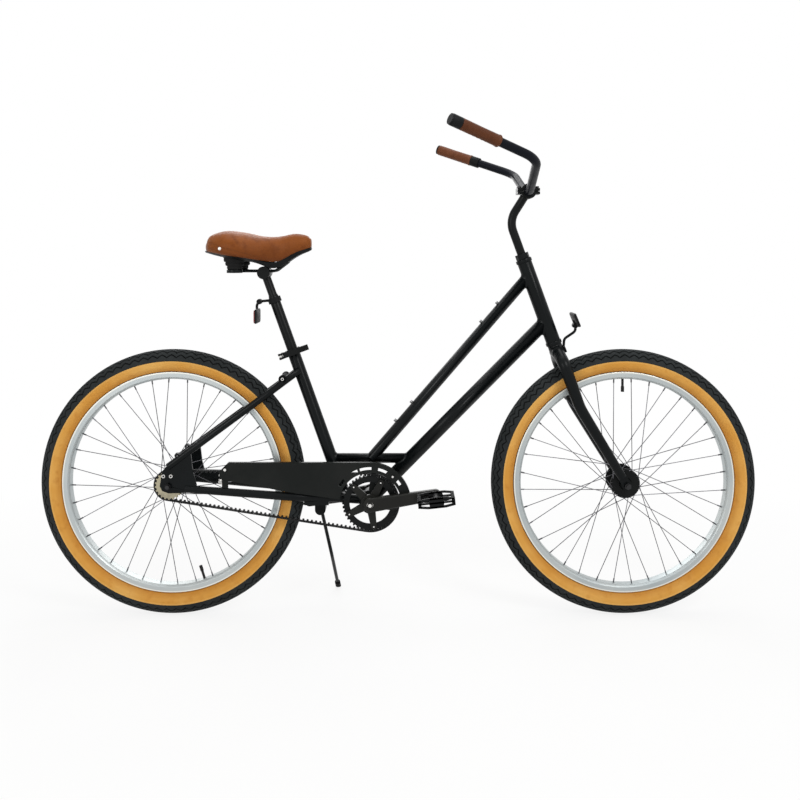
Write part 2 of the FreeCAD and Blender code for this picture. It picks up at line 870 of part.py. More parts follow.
def crank_bolts():
    """The two spindle bolts and the five ring bolts."""
    solids = []
    for side in (1, -1):
        start = side * (spindle_half_length + seat_clearance)
        solids.append(disc(bracket_centre, crank_bolt_diameter / 2, start,
                           side * (crank_inner + crank_thickness)))
    inner = belt_outer_left + ring_thickness
    outer = belt_outer_left - spider_plate
    for place in ring_bolt_places():
        shank = disc(place, ring_bolt_diameter / 2, inner, outer)
        head = disc(place, ring_bolt_head / 2, outer, outer - ring_bolt_head_height)
        nut = disc(place, ring_bolt_head / 2, inner, inner + ring_bolt_head_height)
        solids.append(fused([shank, head, nut]))
    return solids


pieces["right_crank"] = right_crank()
pieces["left_crank"] = turned(crank(1, []), 180 + crank_angle)
pieces["crank_bolts"] = group(crank_bolts())
pieces["crank_spindle"] = disc(bracket_centre, spindle_diameter / 2, -spindle_half_length,
                               spindle_half_length)


# Pedals
def pedal_centre(side):
    return spot(bracket_centre, 0, crank_length, crank_angle if side < 0 else 180 + crank_angle)


def pedal_axle(side):
    """A stout end in the crank and a thinner pin in the pedal."""
    centre = pedal_centre(side)
    shoulder = pedal_inner - running_clearance
    tip = pedal_inner + pedal_width - pedal_wall
    return fused([disc(centre, pedal_axle_diameter / 2, side * crank_inner, side * shoulder),
                  disc(centre, pedal_pin_diameter / 2, side * shoulder, side * tip)])


def pedal(side):
    """A moulded platform: two end walls with slots, treads at front and back and a middle boss."""
    centre = pedal_centre(side)
    forward = -centre.y
    up = centre.z
    inner = side * pedal_inner
    outer = side * (pedal_inner + pedal_width)
    half = pedal_length / 2
    middle_height = pedal_height / 2
    end_height = middle_height * pedal_end_height_share
    outline = [(half, end_height), (pedal_flat, middle_height), (-pedal_flat, middle_height),
               (-half, end_height), (-half, -end_height), (-pedal_flat, -middle_height),
               (pedal_flat, -middle_height), (half, -end_height)]
    body = plate([(forward + along, up + rise) for along, rise in outline], inner, outer)
    boss = pedal_axle_boss / 2
    bay = half - pedal_tread - boss
    cuts = [disc(centre, pedal_pin_diameter / 2 + running_clearance, inner - side * overrun,
                 outer - side * pedal_wall / 2)]
    wide = (pedal_width - 2 * pedal_wall - pedal_rib) / 2
    slot_height = (pedal_height * pedal_end_height_share - 3 * pedal_wall_web) / 2
    for end in (1, -1):
        start = forward + end * boss
        stop = forward + end * (boss + bay)
        for row in (0, 1):
            first = inner + side * (pedal_wall + row * (wide + pedal_rib))
            cuts.append(plate([(start, up - pedal_height), (stop, up - pedal_height),
                               (stop, up + pedal_height),
                               (start, up + pedal_height)], first, first + side * wide))
        for level in (1, -1):
            low = up + level * pedal_wall_web / 2
            high = low + level * slot_height
            cuts.append(plate([(start, low), (stop, low), (stop, high), (start, high)],
                              inner - side * overrun, outer + side * overrun))
    return turned(body.cut(cuts), pedal_tilt, centre)


pieces["pedal_axles"] = group([pedal_axle(-1), pedal_axle(1)])
pieces["right_pedal"] = pedal(-1)
pieces["left_pedal"] = pedal(1)


# Frame
head_turn = math.radians(head_angle)
seat_turn = math.radians(seat_angle)
head_above_axle = tyre_radius + head_tyre_gap + head_tube_length
head_top_forward = front_axle_forward - head_above_axle * math.cos(head_turn) - fork_rake * math.sin(head_turn)
head_top_up = axle_height + head_above_axle * math.sin(head_turn) - fork_rake * math.cos(head_turn)
seat_top_forward = bracket_forward - seat_foot_behind - seat_tube_length * math.cos(seat_turn)
seat_top_up = bracket_height + seat_foot_rise + seat_tube_length * math.sin(seat_turn)
down_tube_head_drop = head_tube_length - down_tube_head_rise
top_tube_foot_forward = bracket_forward + top_tube_foot_ahead
cross_tube_up = bracket_height + cross_tube_rise
tyre_edge_forward = rear_axle_forward + tyre_radius
chainstay_start_forward = rear_axle_forward + chainstay_start_ahead
chainstay_start_up = axle_height - chainstay_start_drop
chainstay_tyre_forward = tyre_edge_forward - chainstay_tyre_inset
chainstay_waist_forward = bracket_forward - chainstay_waist_behind
seatstay_start_forward = rear_axle_forward - seatstay_start_behind
seatstay_start_up = axle_height + seatstay_start_rise
seatstay_tyre_forward = tyre_edge_forward - seatstay_tyre_inset
bridge_forward = tyre_edge_forward - bridge_tyre_inset
bridge_end = seatstay_tyre_left * bridge_reach_share
eyelet_forward = rear_axle_forward + eyelet_ahead


def steer(along, out=0.0, left=0.0):
    """A place by the steering axis: down from the head tube's top, and out towards the front."""
    forward = head_top_forward + along * math.cos(head_turn) + out * math.sin(head_turn)
    return at(forward, left, head_top_up - along * math.sin(head_turn) + out * math.cos(head_turn))


def post(along, out=0.0, left=0.0):
    """A place by the seatpost axis: up from the seat tube's top, and out towards the front."""
    forward = seat_top_forward - along * math.cos(seat_turn) + out * math.sin(seat_turn)
    return at(forward, left, seat_top_up + along * math.sin(seat_turn) + out * math.cos(seat_turn))


def seat_axis_forward(up):
    return seat_top_forward - (up - seat_top_up) / math.tan(seat_turn)


down_tube_start = bracket_centre
down_tube_end = steer(down_tube_head_drop)
top_tube_start = at(top_tube_foot_forward, 0, cross_tube_up)
top_tube_end = steer(top_tube_head_drop)
down_tube_along = (down_tube_end - down_tube_start).normalize()
top_tube_along = (top_tube_end - top_tube_start).normalize()
cross_tube_start = at(seat_axis_forward(cross_tube_up), 0, cross_tube_up)
cross_tube_reach = (cross_tube_up - bracket_height) / down_tube_along.z
cross_tube_end = down_tube_start + down_tube_along * cross_tube_reach
head_tube_end = steer(head_tube_length)
seat_tube_end = post(-seat_tube_length)
head_outside = rod(steer(0), head_tube_end, head_tube_diameter / 2)
seat_outside = rod(post(0), seat_tube_end, seat_tube_diameter / 2)
shell_outside = disc(bracket_centre, shell_diameter / 2, -shell_half_length, shell_half_length)
down_outside = rod(down_tube_start, down_tube_end, down_tube_diameter / 2)
cross_outside = rod(cross_tube_start, cross_tube_end, cross_tube_diameter / 2)


def frame_tube(start, end, diameter, neighbours):
    """A straight tube with its ends cut to the tubes that it meets."""
    return sleeve(start, end, diameter / 2, diameter / 2 - frame_tube_wall).cut(neighbours)


def largest(shape):
    """The main solid of a cut shape."""
    return max(shape.Solids, key=lambda solid: solid.Volume)


def chainstay_up(forward):
    share = (forward - chainstay_start_forward) / (bracket_forward - chainstay_start_forward)
    return chainstay_start_up + share * (bracket_height - chainstay_start_up)


def chainstay_left(forward):
    share = (forward - chainstay_start_forward) / (chainstay_tyre_forward - chainstay_start_forward)
    return chainstay_start_left + share * (chainstay_tyre_left - chainstay_start_left)


def tapered_pipe(wire, first_radius, last_radius):
    """A round bar along a path, thicker at one end."""
    rings = []
    for edge, place, radius in ((wire.Edges[0], 0, first_radius), (wire.Edges[-1], 1, last_radius)):
        spot_parameter = edge.FirstParameter if place == 0 else edge.LastParameter
        rings.append(Part.Wire(Part.makeCircle(radius, edge.valueAt(spot_parameter),
                                               edge.tangentAt(spot_parameter))))
    return wire.makePipeShell(rings, True, False)


def chainstay_wire():
    places = [(chainstay_start_forward, chainstay_start_left),
              (chainstay_tyre_forward, chainstay_tyre_left),
              (chainstay_waist_forward, chainstay_waist_left), (bracket_forward, chainstay_end_left)]
    return path([at(forward, left, chainstay_up(forward)) for forward, left in places], chainstay_bend)


def dropout_plate():
    """The plate that holds the rear axle and joins the stays."""
    low = axle_height - dropout_low
    shoulder = axle_height + dropout_shoulder
    back = rear_axle_forward - dropout_back
    front = rear_axle_forward + dropout_front
    points = [(back, axle_height), (back + dropout_thickness, shoulder - dropout_low),
              (rear_axle_forward, shoulder), (rear_axle_forward + dropout_top_ahead,
                                              axle_height + dropout_high),
              (rear_axle_forward + dropout_neck_ahead, axle_height + dropout_neck_rise),
              (front, chainstay_start_up + chainstay_rear_diameter / 2),
              (front, chainstay_start_up - chainstay_rear_diameter / 2), (rear_axle_forward, low),
              (back + dropout_thickness, low + dropout_thickness)]
    inner = rear_dropout_spacing / 2
    solid = plate(points, inner, inner + dropout_thickness)
    return solid.cut(disc(rear_centre, axle_diameter / 2 + seat_clearance, 0, rear_dropout_spacing))


def seatstay_up(forward):
    """The seatstay's height: it runs straight in the side view, up to the seat tube."""
    end = post(-seatstay_end_drop)
    share = (forward - seatstay_start_forward) / (-end.y - seatstay_start_forward)
    return seatstay_start_up + share * (end.z - seatstay_start_up)


def seatstay_wire():
    end = post(-seatstay_end_drop)
    return path([at(seatstay_start_forward, seatstay_start_left, seatstay_start_up),
                 at(seatstay_tyre_forward, seatstay_tyre_left, seatstay_up(seatstay_tyre_forward)),
                 at(-end.y, seatstay_end_left, end.z)], seatstay_bend)


dropout = dropout_plate()
seatstay_bridge = at(bridge_forward, 0, seatstay_up(bridge_forward) + bridge_rise)
chainstay_solid = tapered_pipe(chainstay_wire(), chainstay_rear_diameter / 2, chainstay_front_diameter / 2)
bridge_centre = at(seat_axis_forward(seat_tube_end.z), 0, chainstay_up(seat_axis_forward(seat_tube_end.z)))
stay_bridge = disc(bridge_centre, stay_bridge_diameter / 2, -chainstay_waist_left, chainstay_waist_left)


def chainstays():
    """Two bent, tapered stays with a short bridge under the seat tube."""
    dropouts_pair = both(dropout)
    stays = fused(both(chainstay_solid) + [stay_bridge])
    return largest(stays.cut(dropouts_pair + [shell_outside]))


def seatstays():
    """Two bent stays with a bridge above the tyre and a threaded eyelet at each lower end."""
    stay = pipe(seatstay_wire(), seatstay_diameter / 2)
    run = seatstay_tyre_forward - seatstay_start_forward
    outward = at(seatstay_start_left - seatstay_tyre_left, run, 0).normalize()
    centre = at(eyelet_forward, seatstay_start_left, seatstay_up(eyelet_forward) + eyelet_rise)
    half = outward * (eyelet_length / 2)
    past = outward * overrun
    eyelet = rod(centre - half, centre + half, eyelet_diameter / 2)
    bore = rod(centre - half - past, centre + half + past, eyelet_bore / 2)
    side = fused([stay, eyelet]).cut([bore, dropout, seat_outside])
    bridge = disc(seatstay_bridge, bridge_diameter / 2, -bridge_end, bridge_end)
    return fused([largest(side), mirrored(largest(side)), bridge])


def cup(start, end, skirt):
    """A bearing cup on the head tube's end, with a skirt pressed inside it."""
    along = (end - start).normalize()
    inner = steerer_diameter / 2 + running_clearance
    flange = sleeve(start, end, cup_diameter / 2, inner)
    skirt_tube = sleeve(end, end + along * skirt, head_tube_bore / 2 - seat_clearance, inner)
    return fused([flange, skirt_tube])


pieces["head_tube"] = sleeve(steer(0), head_tube_end, head_tube_diameter / 2, head_tube_bore / 2)
pieces["top_tube"] = largest(frame_tube(top_tube_start, top_tube_end, top_tube_diameter,
                                        [head_outside, cross_outside]))
pieces["down_tube"] = largest(frame_tube(down_tube_start, down_tube_end, down_tube_diameter,
                                         [head_outside, shell_outside]))
pieces["cross_tube"] = largest(frame_tube(cross_tube_start, cross_tube_end, cross_tube_diameter,
                                          [seat_outside, down_outside]))
pieces["seat_tube"] = largest(sleeve(post(0), seat_tube_end, seat_tube_diameter / 2,
                                     post_diameter / 2 + seat_clearance).cut([stay_bridge] + both(chainstay_solid)))
pieces["bottom_bracket_shell"] = sleeve(bracket_centre - Vector(shell_half_length, 0, 0),
                                        bracket_centre + Vector(shell_half_length, 0, 0),
                                        shell_diameter / 2, shell_bore / 2)
pieces["chainstays"] = chainstays()
pieces["seatstays"] = seatstays()
pieces["dropouts"] = group(both(dropout))
pieces["headset_cups"] = group([cup(steer(-cup_height), steer(0), cup_skirt),
                                cup(steer(head_tube_length + cup_height), head_tube_end, cup_skirt)])


def bracket_cups():
    """A bearing cup in each end of the bottom bracket shell, round the spindle."""
    solids = []
    for side in (1, -1):
        edge = side * shell_half_length
        inner = spindle_diameter / 2 + running_clearance
        outline = [(edge - side * cup_skirt, inner),
                   (edge - side * cup_skirt, shell_bore / 2 - seat_clearance),
                   (edge, shell_bore / 2 - seat_clearance), (edge, shell_diameter / 2 - frame_tube_wall),
                   (edge + side * shell_cup_flange, shell_diameter / 2 - frame_tube_wall),
                   (edge + side * shell_cup_flange, inner)]
        solids.append(lathe(outline, bracket_centre))
    return solids


pieces["bottom_bracket_cups"] = group(bracket_cups())


# Rear axle and coaster brake arm
arm_inner = rear_hub_left + running_clearance
arm_outer = arm_inner + brake_arm_thickness
dropout_inner = rear_dropout_spacing / 2
dropout_outer = dropout_inner + dropout_thickness
arm_tip = at(rear_axle_forward + brake_arm_reach, 0, axle_height + brake_arm_rise)


def rear_axle():
    """The axle with its cones and locknuts, up to the dropouts."""
    stub = dropout_outer + rear_axle_stub
    shaft = disc(rear_centre, axle_diameter / 2, -stub, stub)
    cog_face = belt_line + belt_width / 2 + cog_flange + running_clearance
    cones = [disc(rear_centre, hub_end_radius - frame_tube_wall, arm_outer, dropout_inner),
             disc(rear_centre, hub_end_radius - frame_tube_wall, -dropout_inner, -cog_face)]
    return fused([shaft] + cones)


def brake_arm():
    """The arm that holds the coaster brake against the left chainstay."""
    turn = math.atan2(-brake_arm_rise, brake_arm_reach)
    across = (math.sin(turn), math.cos(turn))
    tip = (-arm_tip.y, arm_tip.z)
    root = (rear_axle_forward, axle_height)
    points = []
    for place, radius, sign in ((root, brake_arm_root_radius, 1), (tip, brake_arm_tip_radius, 1),
                                (tip, brake_arm_tip_radius, -1), (root, brake_arm_root_radius, -1)):
        points.append((place[0] + sign * radius * across[0], place[1] + sign * radius * across[1]))
    solid = fused([plate(points, arm_inner, arm_outer),
                   disc(rear_centre, brake_arm_root_radius, arm_inner, arm_outer),
                   disc(arm_tip, brake_arm_tip_radius, arm_inner, arm_outer)])
    return solid.cut([disc(rear_centre, axle_diameter / 2 + seat_clearance, 0, rear_dropout_spacing),
                      disc(arm_tip, strap_bolt_diameter / 2 + seat_clearance, 0, rear_dropout_spacing)])


pieces["rear_axle"] = rear_axle()
pieces["brake_arm"] = brake_arm()


# Belt guard
guard_top = bracket_height + guard_ring_outer
guard_rear_forward = rear_axle_forward + guard_rear_ahead
guard_rear_low = axle_height + guard_rear_rise


def guard_low(forward):
    """The guard's slanted lower edge."""
    return guard_rear_low - guard_low_slope_share * (forward - guard_rear_forward)


def wedge(first_angle, last_angle, first_left, last_left):
    """A sector round the bottom bracket, to cut with."""
    reach = 2 * guard_ring_outer
    points = [(bracket_forward, bracket_height)]
    for angle in (first_angle, last_angle):
        points.append(polar(bracket_forward, bracket_height, reach, math.radians(angle)))
    return plate(points, first_left, last_left)


def guard_band(outer, inner, first_left, last_left):
    return disc(bracket_centre, outer, first_left, last_left).cut(
        disc(bracket_centre, inner, first_left + overrun, last_left - overrun))


def guard_face():
    """The flat face: a long shield that ends in a ring with windows."""
    outer = -guard_outer
    inner = -(guard_outer - guard_thickness)
    reach = 2 * guard_ring_outer
    shield = plate([(bracket_forward, guard_top), (guard_rear_forward + guard_nose_length, guard_top),
                    (guard_rear_forward, guard_top - guard_nose_length),
                    (guard_rear_forward, guard_rear_low),
                    (bracket_forward, guard_low(bracket_forward))], inner, outer)
    face = fused([shield, disc(bracket_centre, guard_ring_outer, inner, outer)])
    below = [(bracket_forward, bracket_height)]
    below.append(polar(bracket_forward, bracket_height, reach, math.radians(guard_end_angle)))
    below.append((bracket_forward + reach, bracket_height - reach))
    below.append((bracket_forward - reach, bracket_height - reach))
    below.append((bracket_forward - reach, guard_low(bracket_forward - reach)))
    cuts = [disc(bracket_centre, guard_ring_inner, inner + overrun, outer - overrun),
            plate(below, inner + overrun, outer - overrun)]
    band = guard_band(guard_window_outer, guard_window_inner, inner + overrun, outer - overrun)
    for angle, span in guard_windows:
        cuts.append(band.common(wedge(angle - span / 2, angle + span / 2, inner + overrun,
                                      outer - overrun)))
    return largest(face.cut(cuts))


def guard_lips():
    """The edge that turns in over the belt, along the top and round the ring."""
    outer = -guard_outer
    inner = -(guard_outer - guard_lip)
    under = guard_top - guard_thickness
    rear = guard_rear_forward + guard_nose_length
    straight = plate([(bracket_forward, guard_top), (rear, guard_top), (rear, under),
                      (bracket_forward, under)],
                     inner, outer)
    ring = guard_band(guard_ring_outer, guard_ring_outer - guard_thickness, inner, outer)
    return [straight, ring.common(wedge(guard_end_angle, 90, inner, outer))]


def guard_brackets():
    """A tab from the bottom bracket, behind the ring, and a strip up from the chainstay."""
    shell_face = -shell_half_length
    back = shell_face - guard_thickness
    half = guard_bracket_width / 2
    cup_radius = shell_diameter / 2 - frame_tube_wall
    eye = disc(bracket_centre, shell_diameter / 2 + half, shell_face, back)
    shelf_top = guard_window_outer + guard_thickness
    tab = plate([(bracket_forward, bracket_height + half),
                 (bracket_forward + shelf_top, bracket_height + half),
                 (bracket_forward + shelf_top, bracket_height - half),
                 (bracket_forward, bracket_height - half)],
                shell_face, back)
    shelf = plate([(bracket_forward + guard_window_outer, bracket_height + half),
                   (bracket_forward + shelf_top, bracket_height + half),
                   (bracket_forward + shelf_top, bracket_height - half),
                   (bracket_forward + guard_window_outer, bracket_height - half)], shell_face, -guard_outer)
    front = turned(fused([eye, tab, shelf]), guard_tab_angle)
    front = front.cut(disc(bracket_centre, cup_radius + seat_clearance, 0, back - overrun))
    place = guard_rear_forward + guard_screw_inset
    inner = -(guard_outer - guard_thickness)
    rear = plate([(place - half, guard_top - guard_screw_drop),
                  (place + half, guard_top - guard_screw_drop),
                  (place + half, chainstay_up(place)), (place - half, chainstay_up(place))],
                 inner, inner + guard_thickness)
    return [front, rear.cut(mirrored(chainstay_solid))]


pieces["belt_guard"] = fused([guard_face()] + guard_lips() + guard_brackets())


# Kickstand
stand_bracket_rear = tyre_edge_forward + stand_tyre_gap
stand_bracket_front = stand_bracket_rear + stand_bracket_length
stand_pivot_forward = stand_bracket_rear + stand_pivot_ahead
stand_pivot_up = bracket_height - stand_pivot_drop
stand_knee_forward = stand_pivot_forward + stand_knee_ahead
stand_foot_forward = stand_pivot_forward + stand_foot_ahead
stand_pivot = at(stand_pivot_forward, 0, stand_pivot_up)
stand_knee = at(stand_knee_forward, stand_knee_left, stand_knee_up)
stand_end = at(stand_foot_forward, stand_foot_left, stand_ground_gap)
stand_boss_inner = stand_pivot_left - stand_boss_length / 2
stand_boss_outer = stand_pivot_left + stand_boss_length / 2


def kickstand_bracket():
    """A clamp plate seated under the chainstays, with a lug and the hinge pin on the left."""
    top = chainstay_up(stand_pivot_forward)
    base = top - chainstay_front_diameter / 2 - stand_plate_thickness
    width = stand_bracket_half_width
    clamp = plate([(stand_bracket_rear, top), (stand_bracket_front, top), (stand_bracket_front, base),
                   (stand_bracket_rear, base)], -width, width)
    clamp = clamp.cut(both(chainstay_solid))
    clamp = largest(clamp)
    lug_outer = stand_boss_inner - running_clearance
    lug_inner = lug_outer - 2 * stand_plate_thickness
    lug = plate([(stand_pivot_forward - stand_boss_radius, base),
                 (stand_pivot_forward + stand_boss_radius, base),
                 (stand_pivot_forward + stand_boss_radius, stand_pivot_up),
                 (stand_pivot_forward - stand_boss_radius, stand_pivot_up)], lug_inner, lug_outer)
    boss = disc(stand_pivot, stand_boss_radius, lug_inner, lug_outer)
    cap = stand_boss_outer + running_clearance
    pin = disc(stand_pivot, stand_pin_diameter / 2, lug_inner, cap)
    head = disc(stand_pivot, stand_pin_diameter, cap, cap + stand_plate_thickness / 2)
    return fused([clamp, lug, boss, pin, head])


def kickstand_leg():
    """A bent leg below a round boss that turns on the pin."""
    wire = path([at(stand_pivot_forward, stand_pivot_left, stand_pivot_up), stand_knee, stand_end],
                stand_bend)
    leg = pipe(wire, stand_leg_diameter / 2)
    boss = disc(stand_pivot, stand_boss_radius, stand_boss_inner, stand_boss_outer)
    bore = disc(stand_pivot, stand_pin_diameter / 2 + running_clearance, 0, stand_boss_outer + overrun)
    along = (stand_end - stand_knee).normalize()
    tip = stand_end - along * (stand_foot_length * stand_tip_share)
    below = Part.makeCylinder(stand_foot_left, stand_foot_length, tip, along)
    return fused([leg, boss]).cut([bore, below])


def kickstand_foot(leg):
    """A rubber foot pushed over the leg, flat where it meets the ground."""
    along = (stand_end - stand_knee).normalize()
    sleeve_solid = rod(stand_end - along * stand_foot_length, stand_end + along * stand_foot_diameter,
                       stand_foot_diameter / 2)
    floor = Part.makeBox(stand_foot_left, stand_foot_left, stand_foot_left,
                         stand_end - Vector(stand_foot_left / 2, stand_foot_left / 2, stand_foot_left))
    return largest(sleeve_solid.cut([floor, leg]))


pieces["kickstand_bracket"] = kickstand_bracket()
pieces["kickstand_leg"] = kickstand_leg()
pieces["kickstand_foot"] = kickstand_foot(pieces["kickstand_leg"])


# Seat collar and quick release
def post_plate(points, first_left, last_left):
    """A flat plate given along and out from the seatpost axis."""
    places = [post(along, out) for along, out in points]
    return plate([(-place.y, place.z) for place in places], first_left, last_left)


skewer_along = -collar_height / 2
skewer_place = post(skewer_along, -skewer_reach)


def seat_collar():
    """A split ring with two ears that the skewer draws together."""
    ring = rod(post(-collar_height), post(0), collar_diameter / 2)
    low = -collar_height + collar_slit
    ears = post_plate([(low, -collar_ear_reach), (-collar_slit, -collar_ear_reach), (-collar_slit, 0),
                       (low, 0)],
                      -collar_ear_half_width, collar_ear_half_width)
    bore = rod(post(-collar_height - overrun), post(overrun), seat_tube_diameter / 2 + seat_clearance)
    slit = post_plate([(-collar_height - overrun, -collar_ear_reach - overrun),
                       (overrun, -collar_ear_reach - overrun), (overrun, 0), (-collar_height - overrun, 0)],
                      -collar_slit / 2, collar_slit / 2)
    hole = disc(skewer_place, skewer_diameter / 2 + seat_clearance, -collar_ear_reach, collar_ear_reach)
    return fused([ring, ears]).cut([bore, slit, hole])


def skewer():
    """The cross rod with its nut, its cam seat and the pin that the lever turns on."""
    ear = collar_ear_half_width
    pivot = -lever_pivot_left
    shaft = disc(skewer_place, skewer_diameter / 2, pivot, ear + skewer_nut_length)
    nut = disc(skewer_place, skewer_nut_diameter / 2, ear, ear + skewer_nut_length)
    cam_seat = disc(skewer_place, skewer_nut_diameter / 2, pivot + lever_root_radius + running_clearance,
                    -ear)
    pin = rod(post(skewer_along - lever_height / 2, -skewer_reach, pivot),
              post(skewer_along + lever_height / 2, -skewer_reach, pivot), lever_pin_diameter / 2)
    return fused([shaft, nut, cam_seat, pin])


def quick_release_lever():
    """A flat lever with a forked root on the skewer's pin."""
    pivot = -lever_pivot_left
    half = lever_height / 2
    tip = lever_length - skewer_reach
    arm = post_plate([(skewer_along - half, -skewer_reach), (skewer_along + half, -skewer_reach),
                      (skewer_along + half * lever_tip_share, tip),
                      (skewer_along - half * lever_tip_share, tip)],
                     pivot - lever_thickness / 2, pivot + lever_thickness / 2)
    low = post(skewer_along - half, -skewer_reach, pivot)
    high = post(skewer_along + half, -skewer_reach, pivot)
    root = rod(low, high, lever_root_radius)
    along = (high - low).normalize()
    bore = rod(low - along * overrun, high + along * overrun, lever_pin_diameter / 2 + running_clearance)
    middle = (low + high) / 2
    gap = rod(middle - along * (lever_gap / 2), middle + along * (lever_gap / 2),
              lever_root_radius + running_clearance)
    return fused([arm, root]).cut([bore, gap])


pieces["seat_collar"] = seat_collar()
pieces["quick_release_lever"] = quick_release_lever()


# Frame fasteners
def axle_nuts(centre, face):
    solids = []
    for side in (1, -1):
        start = centre + Vector(side * face, 0, 0)
        nut = prism(start, start + Vector(side * axle_nut_length, 0, 0), axle_nut_across / math.sqrt(3), 6)
        solids.append(nut.cut(disc(centre, axle_diameter / 2 + seat_clearance, 0, side * 2 * face)))
    return solids


def dropout_bolts():
    solids = []
    for step in (0, 1):
        place = at(rear_axle_forward + dropout_bolt_shift + step * dropout_bolt_pitch, 0,
                   axle_height + dropout_bolt_rise)
        head = disc(place, dropout_bolt_diameter / 2, dropout_outer, dropout_outer + dropout_bolt_height)
        socket = prism(place + Vector(dropout_outer + dropout_bolt_height / 2, 0, 0),
                       place + Vector(dropout_outer + dropout_bolt_height + overrun, 0, 0),
                       dropout_bolt_diameter / 2 * bolt_socket_share, 6)
        solids.extend(both(head.cut(socket)))
    return solids


def bottle_screws():
    """Four screws on the top tube's upper side, in two pairs."""
    outward = Vector(0, top_tube_along.z, -top_tube_along.y)
    solids = []
    for first in (bottle_screw_first, bottle_screw_second):
        for step in (0, 1):
            foot = top_tube_start + top_tube_along * (first + step * bottle_screw_spacing)
            seat = foot + outward * (top_tube_diameter / 2 - bottle_screw_sunk)
            screw = rod(seat, seat + outward * (bottle_screw_sunk + bottle_screw_height),
                        bottle_screw_diameter / 2)
            solids.append(screw.cut(rod(top_tube_start, top_tube_end, top_tube_diameter / 2)))
    return solids


def bridge_screws():
    """A socket screw in each end of the seatstay bridge."""
    head = disc(seatstay_bridge, bridge_screw_diameter / 2, bridge_end, bridge_end + bridge_screw_height)
    socket = prism(seatstay_bridge + Vector(bridge_end + bridge_screw_height / 2, 0, 0),
                   seatstay_bridge + Vector(bridge_end + bridge_screw_height + overrun, 0, 0),
                   bridge_screw_diameter / 2 * bolt_socket_share, 6)
    return both(head.cut(socket))


def guard_screws():
    rear = at(guard_rear_forward + guard_screw_inset, 0,
              guard_top - guard_screw_drop + guard_screw_diameter)
    front = spot(bracket_centre, 0, (guard_window_inner + guard_window_outer) / 2, guard_screw_angle)
    return [disc(place, guard_screw_diameter / 2, -guard_outer, -guard_outer - guard_screw_height)
            for place in (rear, front)]


def brake_strap():
    """A band round the left chainstay that holds the brake arm, with its bolt."""
    forward = -arm_tip.y
    ends = [at(place, chainstay_left(place), chainstay_up(place))
            for place in (forward - strap_width / 2, forward + strap_width / 2)]
    share = (forward - chainstay_start_forward) / (bracket_forward - chainstay_start_forward)
    stay_radius = (chainstay_rear_diameter + share * (chainstay_front_diameter - chainstay_rear_diameter)) / 2
    band = rod(ends[0], ends[1], stay_radius + running_clearance + strap_thickness)
    half = strap_width / 2
    top = arm_tip.z + half
    tab = plate([(forward - half, top), (forward + half, top), (forward + half, chainstay_up(forward)),
                 (forward - half, chainstay_up(forward))], arm_outer, arm_outer + strap_thickness)
    clear = rod(ends[0] + (ends[0] - ends[1]), ends[1] + (ends[1] - ends[0]),
                stay_radius + running_clearance)
    bolt = disc(arm_tip, strap_bolt_diameter / 2, arm_inner, arm_outer + strap_thickness)
    heads = [disc(arm_tip, strap_bolt_diameter, arm_inner - strap_thickness * 2, arm_inner),
             disc(arm_tip, strap_bolt_diameter, arm_outer + strap_thickness,
                  arm_outer + strap_thickness * 3)]
    return fused([fused([band, tab]).cut(clear), bolt] + heads)


pieces["frame_fasteners"] = group(axle_nuts(rear_centre, dropout_outer) + dropout_bolts() + bottle_screws()
                                  + bridge_screws() + guard_screws() + [brake_strap(), skewer()])


# Fork
crown_top = head_tube_length + cup_height + running_clearance + race_height
crown_along = crown_top + crown_diameter / 2
steerer_bore = quill_diameter / 2 + seat_clearance
fork_tip_inner = front_fork_spacing / 2
fork_tip_outer = fork_tip_inner + fork_tip_thickness
blade_middle = fork_tip_inner + fork_tip_thickness / 2
blade_bend_drop = head_above_axle - blade_bend_rise


def fork_blade():
    """One curved, tapered blade with its axle tip."""
    knee = steer(blade_bend_drop, 0, blade_left)
    axle = front_centre + Vector(blade_middle, 0, 0)
    along = (axle - knee).normalize()
    end = axle - along * blade_end_gap
    wire = path([steer(crown_along, 0, blade_start_left),
                 steer(crown_along + blade_shoulder_drop, 0, blade_left),
                 knee, end], [blade_shoulder_bend, blade_bend])
    blade = tapered_pipe(wire, blade_top_diameter / 2, blade_tip_diameter / 2)
    across = Vector(0, -along.z, along.y).normalize() * (fork_tip_width / 2)
    strip = []
    for place in (end - along * blade_end_gap / 2, front_centre):
        strip.append(place + across)
        strip.append(place - across)
    corners = [strip[0], strip[1], strip[3], strip[2]]
    tip = plate([(-corner.y, corner.z) for corner in corners], fork_tip_inner, fork_tip_outer)
    eye = disc(front_centre, fork_tip_radius, fork_tip_inner, fork_tip_outer)
    return fused([blade, tip, eye]).cut(disc(front_centre, axle_diameter / 2 + seat_clearance, 0,
                                             2 * blade_middle))


def fork_blades():
    """The crown, the lower bearing race and both blades."""
    crown = rod(steer(crown_along, 0, -crown_half_length), steer(crown_along, 0, crown_half_length),
                crown_diameter / 2)
    race = rod(steer(crown_top - race_height), steer(crown_along), race_diameter / 2)
    body = fused(both(fork_blade()) + [crown, race])
    return body.cut(rod(steer(0), steer(crown_along), steerer_diameter / 2 + seat_clearance))


def headset_locknut():
    """The threaded collar on the steerer, above the upper cup."""
    start = steer(-cup_height - running_clearance)
    end = steer(-steerer_rise)
    nut = prism(start, end, locknut_diameter / 2, 8)
    return nut.cut(rod(steer(0), steer(-2 * steerer_rise), steerer_diameter / 2 + seat_clearance))


def front_axle():
    """The axle with its cones and nuts, clamped in the fork tips."""
    stub = fork_tip_outer + front_axle_stub
    shaft = disc(front_centre, axle_diameter / 2, -stub, stub)
    cone_radius = hub_end_radius - frame_tube_wall
    cones = both(disc(front_centre, cone_radius, front_hub_half_length + running_clearance, fork_tip_inner))
    return fused([shaft] + cones)


